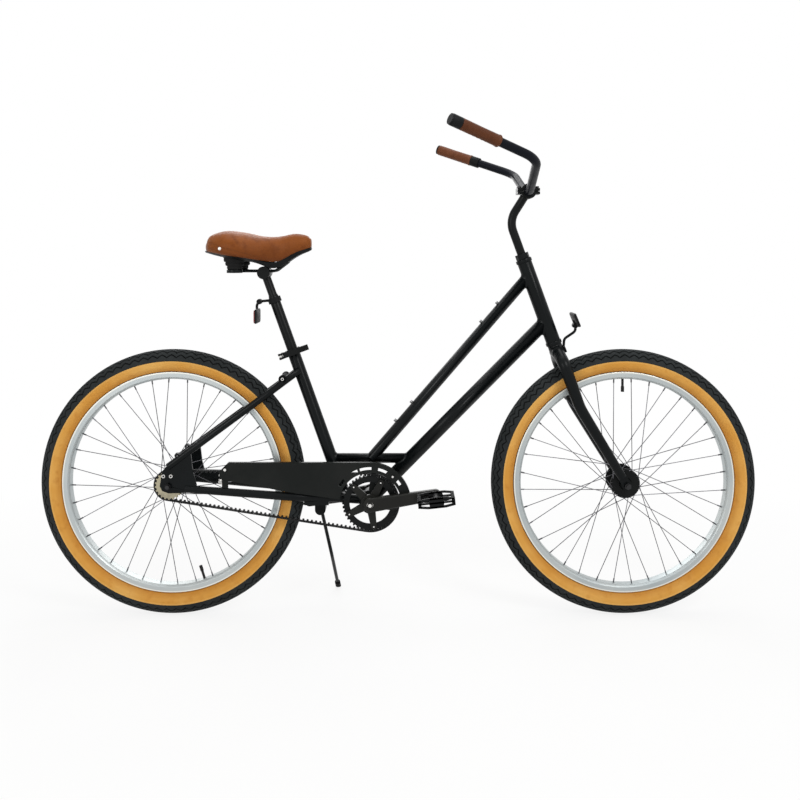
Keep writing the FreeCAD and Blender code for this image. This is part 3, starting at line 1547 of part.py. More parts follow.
pieces["fork_steerer"] = sleeve(steer(-steerer_rise), steer(crown_along), steerer_diameter / 2,
                                steerer_bore)
pieces["fork_blades"] = fork_blades()
pieces["headset_locknut"] = headset_locknut()
pieces["front_axle"] = group([front_axle()] + axle_nuts(front_centre, fork_tip_outer))


# Stem and handlebar
bar_clamp_forward = head_top_forward + bar_clamp_ahead
bar_clamp_up = head_top_up + bar_clamp_rise
bar_corner_forward = bar_clamp_forward - bar_corner_behind
bar_corner_up = bar_clamp_up + bar_corner_rise
bar_end_forward = bar_clamp_forward - bar_end_behind
bar_end_up = bar_clamp_up + bar_end_rise
clamp_centre = at(bar_clamp_forward, 0, bar_clamp_up)
clamp_half = stem_clamp_width / 2


def stem_block(low, high):
    """The clamp's ears between two heights."""
    back = bar_clamp_forward - stem_ear_reach
    front = bar_clamp_forward + stem_ear_reach
    return plate([(back, low), (front, low), (front, high), (back, high)], -clamp_half, clamp_half)


def stem_bolt(forward, left):
    """A bolt through both ears, with its head on top."""
    place = at(bar_clamp_forward + forward, left, bar_clamp_up)
    top = Vector(0, 0, stem_ear_height)
    shank = rod(place - top, place + top, stem_bolt_diameter / 2)
    head = rod(place + top, place + top + Vector(0, 0, stem_bolt_head_height), stem_bolt_head / 2)
    return shank, head


def stem_bolt_places():
    return [(forward, left) for forward in (stem_bolt_forward, -stem_bolt_forward)
            for left in (stem_bolt_left, -stem_bolt_left)]


bar_hole = disc(clamp_centre, bar_clamp_diameter / 2 + seat_clearance, -bar_clamp_half_length,
                bar_clamp_half_length)
clamp_round = disc(clamp_centre, stem_clamp_diameter / 2, -clamp_half, clamp_half)
bolt_holes = []
for bolt_forward, bolt_left in stem_bolt_places():
    bolt_spot = at(bar_clamp_forward + bolt_forward, bolt_left, bar_clamp_up)
    reach = Vector(0, 0, stem_clamp_diameter)
    bolt_holes.append(rod(bolt_spot - reach, bolt_spot + reach, stem_bolt_diameter / 2 + seat_clearance))


def handlebar_stem():
    """A quill that bends forward into the lower half of the bar clamp."""
    wire = path([steer(quill_insertion), steer(-stem_corner_rise), clamp_centre], stem_bend)
    quill = pipe(wire, quill_diameter / 2)
    low = bar_clamp_up - stem_ear_height
    split = bar_clamp_up - stem_clamp_gap / 2
    ears = stem_block(low, split)
    above = stem_block(split, bar_clamp_up + stem_clamp_diameter)
    return largest(fused([quill, clamp_round, ears]).cut([above, bar_hole] + bolt_holes))


def stem_clamp_cap():
    """The upper half of the bar clamp."""
    high = bar_clamp_up + stem_ear_height
    split = bar_clamp_up + stem_clamp_gap / 2
    ears = stem_block(split, high)
    below = stem_block(bar_clamp_up - stem_clamp_diameter, split)
    return largest(fused([clamp_round, ears]).cut([below, bar_hole] + bolt_holes))


def stem_bolts():
    return [fused(list(stem_bolt(forward, left))) for forward, left in stem_bolt_places()]


bar_corner = at(bar_corner_forward, bar_corner_left, bar_corner_up)
bar_end = at(bar_end_forward, bar_end_left, bar_end_up)
bar_along = (bar_end - bar_corner).normalize()


def opposite(place):
    return Vector(-place.x, place.y, place.z)


def handlebar():
    """A swept-back cruiser bar, thicker where the stem clamps it."""
    flat = at(bar_clamp_forward, bar_straight, bar_clamp_up)
    wire = path([bar_end, bar_corner, flat, opposite(flat), opposite(bar_corner), opposite(bar_end)],
                [bar_corner_bend, bar_inner_bend, bar_inner_bend, bar_corner_bend])
    inner = bar_diameter / 2 - bar_wall
    middle = sleeve(clamp_centre - Vector(bar_clamp_half_length, 0, 0),
                    clamp_centre + Vector(bar_clamp_half_length, 0, 0), bar_clamp_diameter / 2, inner)
    return fused([hollow_pipe(wire, bar_diameter / 2, bar_wall), middle])


def on_bar(first, last, outer):
    """A round sleeve on the left bar end, from one distance inwards to another."""
    start = bar_end - bar_along * first
    end = bar_end - bar_along * last
    return sleeve(start, end, outer / 2, bar_diameter / 2 + seat_clearance)


def grip(start):
    """A wrapped grip with a thicker roll at each end."""
    inner = bar_diameter / 2 + seat_clearance
    thick = grip_diameter / 2
    thin = grip_waist_diameter / 2
    outline = [(0, inner), (0, thick), (grip_roll, thick), (2 * grip_roll, thin),
               (grip_length - 2 * grip_roll, thin), (grip_length - grip_roll, thick), (grip_length, thick),
               (grip_length, inner)]
    across = bar_along.cross(Vector(1, 0, 0)).normalize()
    return lathe(outline, bar_end - bar_along * start, bar_along * -1, across)


def grip_plug():
    return rod(bar_end, bar_end + bar_along * grip_plug_length, grip_diameter / 2)


left_collar = on_bar(grip_length + seat_clearance, grip_length + grip_collar_length, grip_collar_diameter)
right_collar = on_bar(0, grip_collar_length, grip_collar_diameter)
pieces["handlebar_stem"] = handlebar_stem()
pieces["stem_clamp_cap"] = stem_clamp_cap()
pieces["stem_bolts"] = group(stem_bolts())
pieces["handlebar"] = handlebar()
pieces["grips"] = group([grip(0), mirrored(grip(grip_collar_length + seat_clearance))])
pieces["grip_collars"] = group([left_collar, grip_plug(), mirrored(fused([right_collar, grip_plug()]))])


# Front reflector
front_lean = math.radians(front_reflector_lean)
reflector_across = at(math.cos(front_lean), 0, math.sin(front_lean))
reflector_down = at(math.sin(front_lean), 0, -math.cos(front_lean))
crown_centre = steer(crown_along)
front_reflector_centre = crown_centre + at(front_reflector_ahead, 0, front_reflector_rise)


def front_reflector():
    """A flat lens that faces ahead and leans back."""
    down = reflector_down * (reflector_height / 2)
    deep = reflector_across * (reflector_depth / 2)
    middle = front_reflector_centre
    corners = [middle - down - deep, middle - down + deep, middle + down + deep, middle + down - deep]
    return plate([(-corner.y, corner.z) for corner in corners], -reflector_width / 2, reflector_width / 2)


def front_reflector_bracket():
    """A curved arm from the crown's front to the lens, with a clamp knob."""
    foot = steer(crown_along, crown_diameter / 2)
    pad = rod(steer(crown_along), steer(crown_along, crown_diameter / 2 + reflector_arm_diameter),
              reflector_foot_diameter / 2)
    back = front_reflector_centre - reflector_across * (reflector_depth / 2)
    low = crown_centre + at(front_arm_low_ahead, 0, front_arm_low_rise)
    high = crown_centre + at(front_arm_high_ahead, 0, front_arm_high_rise)
    arm = pipe(path([foot, low, high, back], reflector_arm_bend), reflector_arm_diameter / 2)
    half = reflector_knob_width / 2
    knob = disc((high + back) / 2, reflector_knob_diameter / 2, -half, half)
    body = fused([pad, arm, knob])
    return largest(body.cut([pieces["fork_blades"], pieces["front_reflector"], pieces["fork_steerer"],
                             rod(steer(0), steer(crown_along + crown_diameter), steerer_diameter / 2
                                 + running_clearance)]))


pieces["front_reflector"] = front_reflector()
pieces["front_reflector_bracket"] = front_reflector_bracket()


# Seat
post_up = (post(seat_tube_length) - post(0)).normalize()
post_out = (post(0, seat_tube_length) - post(0)).normalize()
post_shoulder = saddle_clamp_rise - post_shoulder_drop
post_top = saddle_clamp_rise + post_top_rise
saddle_clamp_centre = post(saddle_clamp_rise)
saddle_clamp_forward = -saddle_clamp_centre.y
rail_up = saddle_clamp_centre.z + rail_rise
rail_front_forward = saddle_clamp_forward + rail_front_ahead
rail_drop_forward = saddle_clamp_forward + rail_drop_ahead
rail_back_forward = saddle_clamp_forward - rail_back_behind
bumper_forward = saddle_clamp_forward - bumper_behind
saddle_rear_forward = saddle_clamp_forward - saddle_rear_behind
saddle_low = saddle_clamp_centre.z + saddle_rise


def seatpost():
    """A hollow post with a narrower neck for the saddle clamp."""
    outer = post_diameter / 2
    neck = post_neck_diameter / 2
    outline = [(-post_insertion, outer - post_wall), (-post_insertion, outer), (post_shoulder, outer),
               (post_shoulder + post_taper, neck), (post_top, neck), (post_top, neck - post_wall),
               (post_shoulder + post_taper, neck - post_wall), (post_shoulder, outer - post_wall)]
    return lathe(outline, post(0), post_up, post_out)


def saddle_stations(widths, lows, highs):
    """The forward place, half width, lower and upper height of each section of the saddle."""
    rows = []
    for share, width, low, high in zip(saddle_station_shares, widths, lows, highs):
        rows.append((saddle_rear_forward + share * saddle_length, width * saddle_width / 2,
                     saddle_low + low * saddle_height, saddle_low + high * saddle_height))
    return rows


def saddle_cushion():
    """A crowned cushion, wide behind and narrow at the nose, with drawn-in sides."""
    sections = []
    for forward, half, low, high in saddle_stations(saddle_width_shares, saddle_edge_shares,
                                                    saddle_top_shares):
        rise = high - low
        foot = at(forward, half * saddle_foot_share, low)
        bulge = at(forward, half, low + rise * saddle_bulge_share)
        shoulder = at(forward, half * saddle_shoulder_share, low + rise * saddle_shoulder_height_share)
        top = at(forward, 0, high)
        edges = [Part.Arc(foot, bulge, shoulder).toShape(),
                 Part.Arc(shoulder, top, opposite(shoulder)).toShape(),
                 Part.Arc(opposite(shoulder), opposite(bulge), opposite(foot)).toShape(),
                 Part.LineSegment(opposite(foot), foot).toShape()]
        sections.append(Part.Wire(edges))
    return Part.makeLoft(sections, True, False)


def saddle_base():
    """The moulded shell under the cushion, deepest above the clamp."""
    sections = []
    rows = saddle_stations(saddle_width_shares, saddle_edge_shares, saddle_base_shares)
    for (forward, half, edge, _), depth in zip(rows, saddle_base_shares):
        high = edge - saddle_gap
        low = high - depth * saddle_height
        corners = [at(forward, half * base_top_share, high), at(forward, -half * base_top_share, high),
                   at(forward, -half * base_low_share, low), at(forward, half * base_low_share, low)]
        sections.append(Part.makePolygon(corners + corners[:1]))
    return Part.makeLoft(sections, True, False)


def saddle_rail():
    """One rail: up into the base in front, back under a bumper behind."""
    rest = at(bumper_forward, bumper_left, rail_up)
    wire = path([at(rail_front_forward, rail_front_left, rail_up + rail_front_rise),
                 at(rail_drop_forward, rail_left, rail_up), at(rail_back_forward, rail_left, rail_up),
                 rest],
                rail_bend)
    rail = pipe(wire, rail_diameter / 2)
    half_plate = Vector(0, 0, bumper_plate)
    foot = rod(rest - half_plate, rest + half_plate, bumper_low_diameter / 2)
    return fused([rail, foot]).cut(pieces["saddle_base"])


def saddle_bumper():
    """A rubber block between the rail's rear end and the base."""
    low = at(bumper_forward, bumper_left, rail_up + bumper_plate)
    high = at(bumper_forward, bumper_left, saddle_low + saddle_edge_shares[2] * saddle_height)
    return largest(cone(low, high, bumper_low_diameter / 2,
                        bumper_top_diameter / 2).cut(pieces["saddle_base"]))


def saddle_clamp():
    """A round clamp that holds both rails on the post."""
    drum = disc(saddle_clamp_centre, saddle_clamp_diameter / 2, -saddle_clamp_half_width,
                saddle_clamp_half_width)
    neck = rod(post(post_shoulder), post(post_top + saddle_clamp_diameter),
               post_neck_diameter / 2 + seat_clearance)
    tunnels = []
    for side in (1, -1):
        start = at(rail_back_forward, side * rail_left, rail_up)
        end = at(rail_drop_forward, side * rail_left, rail_up)
        tunnels.append(rod(start, end, rail_diameter / 2 + seat_clearance))
    return largest(drum.cut([neck] + tunnels))


pieces["seatpost"] = seatpost()
pieces["saddle_cushion"] = saddle_cushion()
pieces["saddle_base"] = saddle_base()
pieces["saddle_rails"] = group(both(largest(saddle_rail())))
pieces["saddle_bumpers"] = group(both(saddle_bumper()))
pieces["saddle_clamp"] = saddle_clamp()


# Rear reflector
rear_clamp_centre = post(rear_clamp_rise)
rear_reflector_back = rear_clamp_centre.y + rear_reflector_behind
rear_reflector_front = -(rear_reflector_back - rear_reflector_depth)
rear_reflector_up = rear_clamp_centre.z - rear_reflector_drop
rear_arm_up = rear_clamp_centre.z + rear_arm_rise


def reflector_slab(first_forward, last_forward, width, height):
    low = rear_reflector_up - height / 2
    high = rear_reflector_up + height / 2
    return plate([(first_forward, low), (last_forward, low), (last_forward, high), (first_forward, high)],
                 -width / 2, width / 2)


def rear_reflector():
    """A dark housing with a red lens in its rear face."""
    housing = reflector_slab(-rear_reflector_back, rear_reflector_front, reflector_width, reflector_height)
    lens_width = reflector_width - rear_lens_depth
    lens_height = reflector_height - rear_lens_depth
    lens_front = -rear_reflector_back + rear_lens_depth
    pocket = reflector_slab(-rear_reflector_back - overrun, lens_front, lens_width, lens_height)
    lens = reflector_slab(-rear_reflector_back, lens_front, lens_width - seat_clearance,
                          lens_height - seat_clearance)
    return [housing.cut(pocket), lens]


def rear_reflector_bracket():
    """A ring clamp on the post, an arm and a clamp knob above the reflector."""
    ring = rod(post(rear_clamp_rise), post(rear_clamp_rise + rear_clamp_height),
               post_diameter / 2 + rear_clamp_wall)
    start = post(rear_clamp_rise + rear_clamp_height / 2)
    middle = (rear_reflector_front - rear_reflector_back) / 2
    corner = at(middle, 0, rear_arm_up)
    end = at(middle, 0, rear_reflector_up + reflector_height / 2)
    arm = pipe(path([start, corner, end], reflector_arm_bend), reflector_arm_diameter / 2)
    half = reflector_knob_width / 2
    knob = disc(at(middle + reflector_knob_diameter / 2, 0, rear_arm_up), reflector_knob_diameter / 2,
                -half, half)
    bore = rod(post(0), post(post_shoulder + post_insertion), post_diameter / 2 + seat_clearance)
    return largest(fused([ring, arm, knob]).cut(bore))


pieces["rear_reflector"] = group(rear_reflector())
pieces["rear_reflector_bracket"] = rear_reflector_bracket()


os.makedirs("parts", exist_ok=True)
for name, shape in pieces.items():
    shape.exportStep("parts/" + name + ".step")
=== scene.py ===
import math

import bmesh
import bpy
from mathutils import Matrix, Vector


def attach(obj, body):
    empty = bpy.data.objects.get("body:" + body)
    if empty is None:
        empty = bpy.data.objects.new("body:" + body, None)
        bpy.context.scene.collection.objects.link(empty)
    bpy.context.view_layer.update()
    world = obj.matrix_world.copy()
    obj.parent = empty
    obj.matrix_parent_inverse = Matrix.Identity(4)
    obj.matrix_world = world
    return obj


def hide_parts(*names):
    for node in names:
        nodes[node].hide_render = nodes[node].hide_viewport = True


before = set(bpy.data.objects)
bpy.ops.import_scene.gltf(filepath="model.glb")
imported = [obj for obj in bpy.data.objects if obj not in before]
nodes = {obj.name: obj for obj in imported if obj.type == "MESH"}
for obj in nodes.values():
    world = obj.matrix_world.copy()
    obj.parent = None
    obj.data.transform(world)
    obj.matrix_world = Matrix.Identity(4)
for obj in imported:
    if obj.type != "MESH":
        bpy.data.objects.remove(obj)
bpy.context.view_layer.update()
MM = 0.001

# Main places in millimetres, and the angle from which an edge is rounded
wheel_reach = 585.0
wheel_height = 344.0
bracket_forward = -71.156
bracket_height = 299.0
edge_angle = math.radians(40)


# Places and shapes
def at(forward, left, up):
    """A place given in millimetres forward, left and up."""
    return Vector((left, -forward, up)) * MM


class Shape:
    """Points and faces that grow into one mesh, with a material number for each face."""

    merge_distance = MM / 100

    def __init__(self):
        self.points = []
        self.faces = []
        self.marks = []

    def grid(self, rows, round_rows=False, mark=0):
        """Joins rings of points with quads; mark may be a function of the row number."""
        first = len(self.points)
        width = len(rows[0])
        for row in rows:
            self.points.extend(row)
        row_steps = len(rows) if round_rows else len(rows) - 1
        for row in range(row_steps):
            below = first + row * width
            above = first + (row + 1) % len(rows) * width
            number = mark(row) if callable(mark) else mark
            for step in range(width):
                after = (step + 1) % width
                self.faces.append((below + step, below + after, above + after, above + step))
                self.marks.append(number)

    def cap(self, row, mark, flip=False):
        """Closes a ring of points with one face."""
        first = len(self.points)
        self.points.extend(row)
        face = tuple(range(first, first + len(row)))
        self.faces.append(face[::-1] if flip else face)
        self.marks.append(mark)

    def tube(self, rows, mark=0):
        """Rings of points joined into a closed bar."""
        self.grid(rows, mark=mark)
        self.cap(rows[0], mark, True)
        self.cap(rows[-1], mark)

    def build(self, name, body, materials, smooth=40.0):
        """Makes the mesh, with its faces turned outwards, and rides it on a body."""
        mesh = bpy.data.meshes.new(name)
        mesh.from_pydata(self.points, [], self.faces)
        for material in materials:
            mesh.materials.append(material)
        mesh.polygons.foreach_set("material_index", self.marks)
        work = bmesh.new()
        work.from_mesh(mesh)
        bmesh.ops.remove_doubles(work, verts=work.verts, dist=self.merge_distance)
        bmesh.ops.recalc_face_normals(work, faces=work.faces)
        work.to_mesh(mesh)
        work.free()
        mesh.shade_smooth()
        mesh.set_sharp_from_angle(angle=math.radians(smooth))
        piece = bpy.data.objects.new(name, mesh)
        bpy.context.scene.collection.objects.link(piece)
        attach(piece, body)
        return piece


def ring(centre, across, upward, radius, sides):
    """A circle of points in the plane of two directions."""
    return [centre + (across * math.cos(angle) + upward * math.sin(angle)) * radius
            for angle in (2 * math.pi * side / sides for side in range(sides))]


def frames(line):
    """Two directions across a line at each of its points, without twist."""
    result = []
    side = None
    for step, place in enumerate(line):
        before = line[step - 1] if step else place
        after = line[step + 1] if step + 1 < len(line) else place
        along = (after - before).normalized()
        if side is None:
            side = along.orthogonal().normalized()
        side = (side - along * side.dot(along)).normalized()
        result.append((side, along.cross(side)))
    return result


def sweep(line, radii, sides):
    """Rings of points along a line, with a radius for each point."""
    return [ring(place, across, upward, size, sides)
            for place, (across, upward), size in zip(line, frames(line), radii)]


def lathe(profile, centre, axis, sides):
    """Rings turned about an axis, from pairs of length along it and radius in millimetres."""
    across = axis.orthogonal().normalized()
    upward = axis.cross(across)
    return [ring(centre + axis * (along * MM), across, upward, radius * MM, sides)
            for along, radius in profile]


def smooth_line(points, steps):
    """Points on a soft curve through the given ones."""
    result = []
    last = len(points) - 1
    for piece in range(last):
        p0 = points[max(piece - 1, 0)]
        p1 = points[piece]
        p2 = points[piece + 1]
        p3 = points[min(piece + 2, last)]
        for step in range(steps):
            t = step / steps
            result.append((p1 * 2 + (p2 - p0) * t + (p0 * 2 - p1 * 5 + p2 * 4 - p3) * t ** 2
                           + (p1 * 3 - p0 - p2 * 3 + p3) * t ** 3) / 2)
    result.append(points[-1].copy())
    return result


def rounded_edges(piece, width):
    """Bevels the sharp edges of a piece by a width in millimetres."""
    bevel = piece.modifiers.new("edges", "BEVEL")
    bevel.width = width * MM
    bevel.segments = 2
    bevel.limit_method = "ANGLE"
    bevel.angle_limit = edge_angle


# Materials
class Look:
    """A node material that is built up from noise, colour, roughness and relief."""

    noise_roughness = 0.55
    gloss_bounds = (0.3, 0.7)
    mix_inputs = (0, 6, 7)
    mix_output = 2

    def __init__(self, name, colour, roughness, metallic=0.0, specular=0.5, coat=0.0, coat_roughness=0.2):
        self.material = bpy.data.materials.new(name)
        self.material.use_nodes = True
        self.tree = self.material.node_tree
        self.shader = self.tree.nodes["Principled BSDF"]
        self.set("Base Color", (*colour, 1))
        self.set("Roughness", roughness)
        self.set("Metallic", metallic)
        self.set("Specular IOR Level", specular)
        self.set("Coat Weight", coat)
        self.set("Coat Roughness", coat_roughness)
        self.colour = None
        self.relief = None
        self.place = self.tree.nodes.new("ShaderNodeTexCoord").outputs["Object"]
        self.base = colour

    def set(self, socket, value):
        """Gives a socket of the shader its value."""
        self.shader.inputs[socket].default_value = value

    def node(self, kind, **values):
        """Makes a node with the given inputs and settings."""
        made = self.tree.nodes.new(kind)
        for name, value in values.items():
            if name in made.inputs:
                made.inputs[name].default_value = value
            else:
                setattr(made, name, value)
        return made

    def join(self, output, socket):
        """Links an output to a socket."""
        self.tree.links.new(output, socket)

    def measure(self, operation, vector, other):
        """One number from a vector and a fixed one, such as their distance."""
        made = self.node("ShaderNodeVectorMath", operation=operation)
        made.inputs[1].default_value = other
        self.join(vector, made.inputs[0])
        return made.outputs["Value"]

    def side_view(self):
        """The place, without its part along the axles."""
        made = self.node("ShaderNodeMapping", Scale=(0, 1, 1))
        self.join(self.place, made.inputs["Vector"])
        return made.outputs["Vector"]

    def noise(self, scale, detail=4.0):
        """Cloudy noise."""
        made = self.node("ShaderNodeTexNoise", Scale=scale, Detail=detail, Roughness=self.noise_roughness)
        self.join(self.place, made.inputs["Vector"])
        return made.outputs["Fac"]

    def cells(self, scale, feature="DISTANCE_TO_EDGE"):
        """Distances in a pattern of cells."""
        made = self.node("ShaderNodeTexVoronoi", feature=feature, Scale=scale)
        self.join(self.place, made.inputs["Vector"])
        return made.outputs["Distance"]

    def ramp(self, value, low, high, first=0.0, last=1.0):
        """Maps a value between two bounds to another range."""
        made = self.node("ShaderNodeMapRange")
        made.inputs["From Min"].default_value = low
        made.inputs["From Max"].default_value = high
        made.inputs["To Min"].default_value = first
        made.inputs["To Max"].default_value = last
        self.join(value, made.inputs["Value"])
        return made.outputs["Result"]

    def tint(self, value, colour, low=0.35, high=0.65):
        """Mixes another colour in where the value is high."""
        made = self.node("ShaderNodeMix", data_type="RGBA")
        factor, first, second = (made.inputs[number] for number in self.mix_inputs)
        self.join(self.ramp(value, low, high), factor)
        if self.colour:
            self.join(self.colour, first)
        else:
            first.default_value = (*self.base, 1)
        second.default_value = (*colour, 1)
        self.colour = made.outputs[self.mix_output]
        self.join(self.colour, self.shader.inputs["Base Color"])

    def gloss(self, value, first, last):
        """Lets the roughness vary between two values."""
        self.join(self.ramp(value, *self.gloss_bounds, first, last), self.shader.inputs["Roughness"])

    def bump(self, value, strength, depth):
        """Adds relief of a depth in millimetres."""
        made = self.node("ShaderNodeBump", Strength=strength, Distance=depth * MM)
        self.join(value, made.inputs["Height"])
        if self.relief:
            self.join(self.relief, made.inputs["Normal"])
        self.relief = made.outputs["Normal"]
        self.join(self.relief, self.shader.inputs["Normal"])


def wheel_radius(look):
    """How far a place is from the axle of its wheel, seen from the side."""
    folded = look.node("ShaderNodeVectorMath", operation="ABSOLUTE")
    look.join(look.side_view(), folded.inputs[0])
    return look.measure("DISTANCE", folded.outputs[0], (0.0, wheel_reach * MM, wheel_height * MM))


# Grains that several finishes share: their scale, and the detail of their noise
steel_grain = (700.0, 3.0)
peel_grain = (900.0, 2.0)
woven_grain = (1100.0, 2.0)
moulded_grain = 1600.0
fine_detail = 3.0
rich_detail = 6.0
stain_scale = 30.0
stain_bounds = (0.45, 0.85)


def painted(name, colour, dust, low, high, depth=0.05, specular=0.16):
    """Powder coat: a fine orange-peel skin with faint dust and uneven gloss."""
    look = Look(name, colour, low, specular=specular)
    look.tint(look.noise(scale=9.0), dust, low=0.42, high=0.8)
    look.gloss(look.noise(scale=55.0), low, high)
    look.bump(look.noise(*peel_grain), strength=0.15, depth=depth)
    return look.material


def metal(name, colour, dark, low, high):
    """Bare or anodised metal with a fine grain and faint stains."""
    look = Look(name, colour, low, metallic=1.0)
    look.tint(look.noise(stain_scale), dark, *stain_bounds)
    brushed = look.noise(*steel_grain)
    look.gloss(brushed, low, high)
    look.bump(brushed, strength=0.15, depth=0.03)
    return look.material


def rim_metal(name, wall, shade, lip_highlight):
    """Anodised rim: cool walls, with a painted highlight on the lip beside the tyre."""
    lip_highlight_bounds = (0.2812, 0.2834)
    look = Look(name, wall, roughness=0.4, metallic=0.9)
    look.tint(look.noise(scale=5.0), shade, low=0.35, high=0.7)
    # Painted highlight: a paler band along the lip, by distance from the axle
    look.tint(wheel_radius(look), lip_highlight, *lip_highlight_bounds)
    brushed = look.noise(*steel_grain)
    look.gloss(brushed, first=0.36, last=0.5)
    look.bump(brushed, strength=0.1, depth=0.02)
    return look.material


def fasteners(name, colour, zones, grey):
    """Steel with other colours round some lateral axes, for black heads, painted glints and painted socket
    shade, and grey high up at the front.
    """
    stain_share = 0.65
    zone_edge = 0.2
    high_bounds = (0.44, 0.45)
    look = Look(name, colour, roughness=0.25, metallic=1.0)
    look.tint(look.noise(stain_scale), tuple(stain_share * part for part in colour), *stain_bounds)
    flat = look.side_view()
    for centre, reach, shade in zones:
        apart = look.measure("DISTANCE", flat, centre)
        look.tint(look.ramp(apart, reach * MM, (reach + zone_edge) * MM, first=1.0, last=0.0), shade)
    look.tint(look.measure("DOT_PRODUCT", look.place, (0, -1, 1)), grey, *high_bounds)
    look.gloss(look.noise(*steel_grain), first=0.22, last=0.4)
    return look.material


def rubber(name, colour, dust, low, high, pebble=900.0):
    """Matte rubber with a fine pebble and greyish bloom."""
    look = Look(name, colour, low, specular=0.12)
    look.tint(look.noise(scale=16.0), dust, low=0.4, high=0.85)
    look.gloss(look.noise(scale=90.0), low, high)
    look.bump(look.noise(pebble, fine_detail), strength=0.4, depth=0.12)
    return look.material


def moulded(name, colour, light, low, high):
    """Moulded plastic with a fine spark-eroded texture."""
    look = Look(name, colour, low, specular=0.09)
    look.tint(look.noise(scale=24.0), light, low=0.4, high=0.9)
    look.gloss(look.noise(scale=120.0), low, high)
    look.bump(look.cells(moulded_grain, "F1"), strength=0.25, depth=0.06)
    return look.material


def leather(name, colour, dark, light, scale, shade=None):
    """Grained leather: pebbled cells, with painted shade in the creases and low down, and worn lighter in
    patches.
    """
    crease_shade_width = 0.12
    cell_width = 0.2
    pore_scale = 2.5 * scale
    look = Look(name, colour, roughness=0.45, specular=0.11)
    look.tint(look.noise(scale=14.0), light, low=0.45, high=0.8)
    look.tint(look.noise(scale=45.0, detail=rich_detail), dark, low=0.5, high=0.85)
    # Painted shade: darker below a height, where the lower sides fall in shade
    if shade:
        height = look.measure("DOT_PRODUCT", look.place, (0, 0, 1))
        look.tint(look.ramp(height, *shade, first=1.0, last=0.0), dark, low=0.0, high=1.25)
    crease = look.cells(scale)
    # Painted shade in the creases between the cells
    look.tint(look.ramp(crease, 0.0, crease_shade_width, first=1.0, last=0.0), dark, low=0.2, high=1.6)
    look.gloss(look.noise(scale=70.0), first=0.36, last=0.56)
    look.bump(look.ramp(crease, 0.0, cell_width), strength=0.35, depth=0.25)
    look.bump(look.noise(pore_scale, fine_detail), strength=0.25, depth=0.1)
    return look.material


def sidewall(name, colour, dark, light):
    """Tan tyre wall with a fine woven casing showing through, with painted shade inwards by the rim and a
    painted sheen outwards.
    """
    rim_shade_bounds = (0.285, 0.303)
    outer_sheen_bounds = (0.309, 0.3155)
    look = Look(name, colour, roughness=0.62, specular=0.18)
    look.tint(look.noise(scale=7.0), light, low=0.4, high=0.8)
    look.tint(look.noise(scale=38.0, detail=rich_detail), dark, low=0.55, high=0.9)
    size = wheel_radius(look)
    # Painted shade towards the rim, then a painted sheen towards the tread
    look.tint(look.ramp(size, *rim_shade_bounds, first=1.0, last=0.0), dark, low=0.1, high=1.4)
    look.tint(size, light, *outer_sheen_bounds)
    look.gloss(look.noise(scale=60.0), first=0.55, last=0.72)
    look.bump(look.noise(*woven_grain), strength=0.3, depth=0.1)
    return look.material


def lens(name, colour, deep):
    """Reflector plastic: clear gloss over faceted colour."""
    facet_scale = 420.0
    look = Look(name, colour, roughness=0.12, coat=0.6, coat_roughness=0.05)
    look.tint(look.cells(facet_scale, "F1"), deep, low=0.2, high=0.6)
    look.gloss(look.noise(scale=200.0), first=0.08, last=0.2)
    return look.material


# Materials: their name, main colour, other colours, and mostly the lowest and highest roughness
frame_paint = painted("frame_paint", (0.0022, 0.0032, 0.0036), (0.0044, 0.006, 0.0066), 0.28, 0.37,
                      specular=0.13)
alloy_black = painted("alloy_black", (0.0038, 0.0045, 0.0046), (0.008, 0.0087, 0.0087), 0.29, 0.4,
                      depth=0.03, specular=0.12)
crank_black = painted("crank_black", (0.0075, 0.0076, 0.0064), (0.014, 0.014, 0.0115), 0.34, 0.46,
                      depth=0.03, specular=0.18)
bracket_black = painted("bracket_black", (0.0036, 0.0042, 0.0044), (0.0075, 0.0082, 0.0084), 0.62, 0.74,
                        depth=0.03, specular=0.04)
bar_black = painted("bar_black", (0.0065, 0.0075, 0.011), (0.0105, 0.012, 0.018), 0.3, 0.4,
                    depth=0.02, specular=0.06)
guard_black = painted("guard_black", (0.0085, 0.0098, 0.0092), (0.0155, 0.0165, 0.0155), 0.36, 0.48,
                      specular=0.1)
tread_rubber = rubber("tread_rubber", (0.017, 0.0195, 0.02), (0.03, 0.034, 0.035), 0.6, 0.78)
# Painted shade: the tread rubber made much darker for the grooves' recesses
groove_shade_rubber = rubber("groove_shade_rubber", (0.003, 0.0034, 0.0036), (0.006, 0.0065, 0.007), 0.7, 0.85)
tube_rubber = rubber("tube_rubber", (0.014, 0.014, 0.014), (0.03, 0.03, 0.03), 0.5, 0.7)
foot_rubber = rubber("foot_rubber", (0.008, 0.008, 0.008), (0.019, 0.019, 0.018), 0.6, 0.8)
belt_rubber = rubber("belt_rubber", (0.010, 0.0105, 0.011), (0.024, 0.024, 0.024), 0.45, 0.62,
                     pebble=1500.0)
tan_wall = sidewall("tan_wall", (0.64, 0.295, 0.048), (0.47, 0.175, 0.022), (0.75, 0.42, 0.11))
